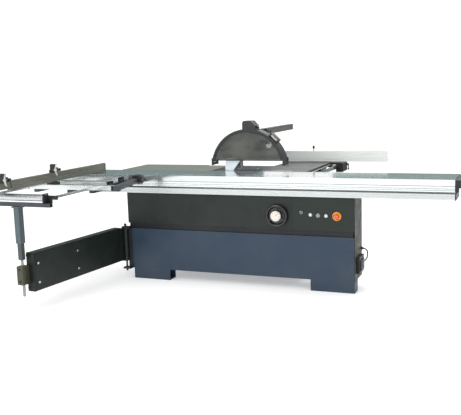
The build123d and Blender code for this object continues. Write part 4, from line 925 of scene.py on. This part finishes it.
# post head: clamp screws
BX = -0.050
bm = bmesh.new()
for f in (885, 940):
    star_knob(bm, (BX + 0.034, Y(f), 1.160), (1, 0, 0), 0.0145, 0.019, 0, 6)
finish_mesh(bm, "post_knobs", GLOSS, "base")

# rip fence: ball knob, clamp bolts
bm = bmesh.new()
lathe(bm, [(0, 0), (0.0088, 0), (0.0088, 0.012), (0.0070, 0.014), (0.0034, 0.0155), (0.0034, 0.030), (0.0052, 0.032),
           (0.0090, 0.0355), (0.0113, 0.0420), (0.0110, 0.0490), (0.0085, 0.0560), (0.0045, 0.0615), (0, 0.0625)],
      axis_matrix((0.309, Y(1214), 0.952), (0, 0, 1)), 48)
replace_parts(finish_mesh(bm, "clamp_ball", GLOSS, "rip_clamp"), "fence_clamp_lever")
bm = bmesh.new()
for x in (0.51, 0.59):
    for f in (1098, 1250):
        socket_screw(bm, (x, Y(f), 0.8727 if f < 1150 else 0.906), (0, 0, 1), 0.0055, 0.003)
finish_mesh(bm, "carriage_screws", STEEL, "rip_base")

# saw blade: carbide tips
bm = bmesh.new()
bx_, bz_ = -0.020, 0.740
for i in range(36):
    a = -(2 * math.pi * i / 36)
    mw = Matrix.Translation((bx_, Y(387), bz_)) @ Matrix.Rotation(-a, 4, "Y")
    rbox(bm, (0.1660, -0.0018, -0.0020), (0.1746, 0.0018, 0.0004), 0.0003, 0, mw)
finish_mesh(bm, "carbide_tips", STEEL, "arbor")

# ---------------------------------------------------------------------------
# stage: pale floor, soft lights
# ---------------------------------------------------------------------------
bm = bmesh.new()
prof = [(-60.0, -0.0005), (60.0, -0.0005)]
rows = [[bm.verts.new((x, y, z)) for y, z in prof] for x in (-60.0, 60.0)]
for k in range(len(prof) - 1):
    bm.faces.new((rows[0][k], rows[1][k], rows[1][k + 1], rows[0][k + 1]))
me = bpy.data.meshes.new("floor")
bm.to_mesh(me)
bm.free()
floor = bpy.data.objects.new("floor", me)
bpy.context.scene.collection.objects.link(floor)
fm = bpy.data.materials.new("floor_pale")
fm.use_nodes = True
p = fm.node_tree.nodes["Principled BSDF"]
tc = node(fm.node_tree, "ShaderNodeTexCoord")
nn = noise(fm.node_tree, tc.outputs["Object"], 1.2, 4, 0.5)
fm.node_tree.links.new(mixc(fm.node_tree, nn, (0.83, 0.83, 0.82, 1), (0.88, 0.88, 0.875, 1)), p.inputs["Base Color"])
p.inputs["Roughness"].default_value = 0.7
p.inputs["Emission Color"].default_value = (1, 1, 1, 1)
ln = node(fm.node_tree, "ShaderNodeVectorMath", operation="LENGTH")
fm.node_tree.links.new(tc.outputs["Object"], ln.inputs[0])
fm.node_tree.links.new(maprange(fm.node_tree, ln.outputs["Value"], 2.5, 7.5, 0.36, 0.72), p.inputs["Emission Strength"])
p.inputs["Specular IOR Level"].default_value = 0.2
me.materials.append(fm)
for pl in me.polygons:
    pl.use_smooth = True


def card(name, x0, x1, y, z0, z1, col):
    """Glowing dark teal-grey sheet, hidden from camera, diffuse and shadow rays: a painted reflection that only the
    polished metal sees.
    """
    me_ = bpy.data.meshes.new(name)
    me_.from_pydata([(x0, y, z0), (x1, y, z0), (x1, y, z1), (x0, y, z1)], [], [(0, 1, 2, 3)])
    o_ = bpy.data.objects.new(name, me_)
    bpy.context.scene.collection.objects.link(o_)
    mt_ = bpy.data.materials.new(name)
    mt_.use_nodes = True
    p_ = mt_.node_tree.nodes["Principled BSDF"]
    p_.inputs["Base Color"].default_value = (0.01, 0.012, 0.012, 1)
    p_.inputs["Emission Color"].default_value = col
    p_.inputs["Emission Strength"].default_value = 1.0
    me_.materials.append(mt_)
    o_.visible_camera = False
    o_.visible_diffuse = False
    o_.visible_shadow = False
    o_.visible_transmission = False


# painted reflections: two glowing teal-grey sheets behind the machine, there only for the polished tops to reflect
card("reflection_card_left", -9.0, -1.54, 5.0, 0.9, 3.2, srgb(104, 122, 120))
card("reflection_card_right", -0.48, 6.0, 5.0, 0.9, 3.2, srgb(112, 132, 128))

w = bpy.data.worlds.new("world")
bpy.context.scene.world = w
w.use_nodes = True
wt = w.node_tree
wtc = node(wt, "ShaderNodeTexCoord")
wsep = node(wt, "ShaderNodeSeparateXYZ")
wt.links.new(wtc.outputs["Generated"], wsep.inputs[0])
wt.nodes["Background"].inputs[0].default_value = (0.98, 0.99, 1.0, 1)
# bright at the horizon, dimmer overhead
wt.links.new(maprange(wt, wsep.outputs[2], 0.20, 0.50, 1.04, 0.42), wt.nodes["Background"].inputs[1])


def area(name, loc, target, size, energy, col=(1, 1, 1), sy=None):
    l = bpy.data.lights.new(name, "AREA")
    l.energy = energy
    l.size = size
    if sy:
        l.shape = "RECTANGLE"
        l.size_y = sy
    l.color = col
    o = bpy.data.objects.new(name, l)
    bpy.context.scene.collection.objects.link(o)
    o.location = loc
    o.rotation_euler = (Vector(target) - Vector(loc)).to_track_quat("-Z", "Y").to_euler()
    return o


area("key", (-1.8, -4.6, 4.4), (0, 0, 0.5), 3.6, 160, (1, 0.99, 0.97))
area("fill", (4.0, -3.2, 2.6), (0.4, 0, 0.6), 3.0, 36, (0.97, 0.98, 1.0))
area("top", (0.2, 1.2, 5.2), (0, 0.3, 0.6), 4.5, 150, (1, 1, 1))
area("back", (0.5, 5.0, 3.6), (0, 0, 0.9), 4.0, 90, (1, 1, 1), 2.0)
bpy.context.scene.view_settings.view_transform = "Standard"
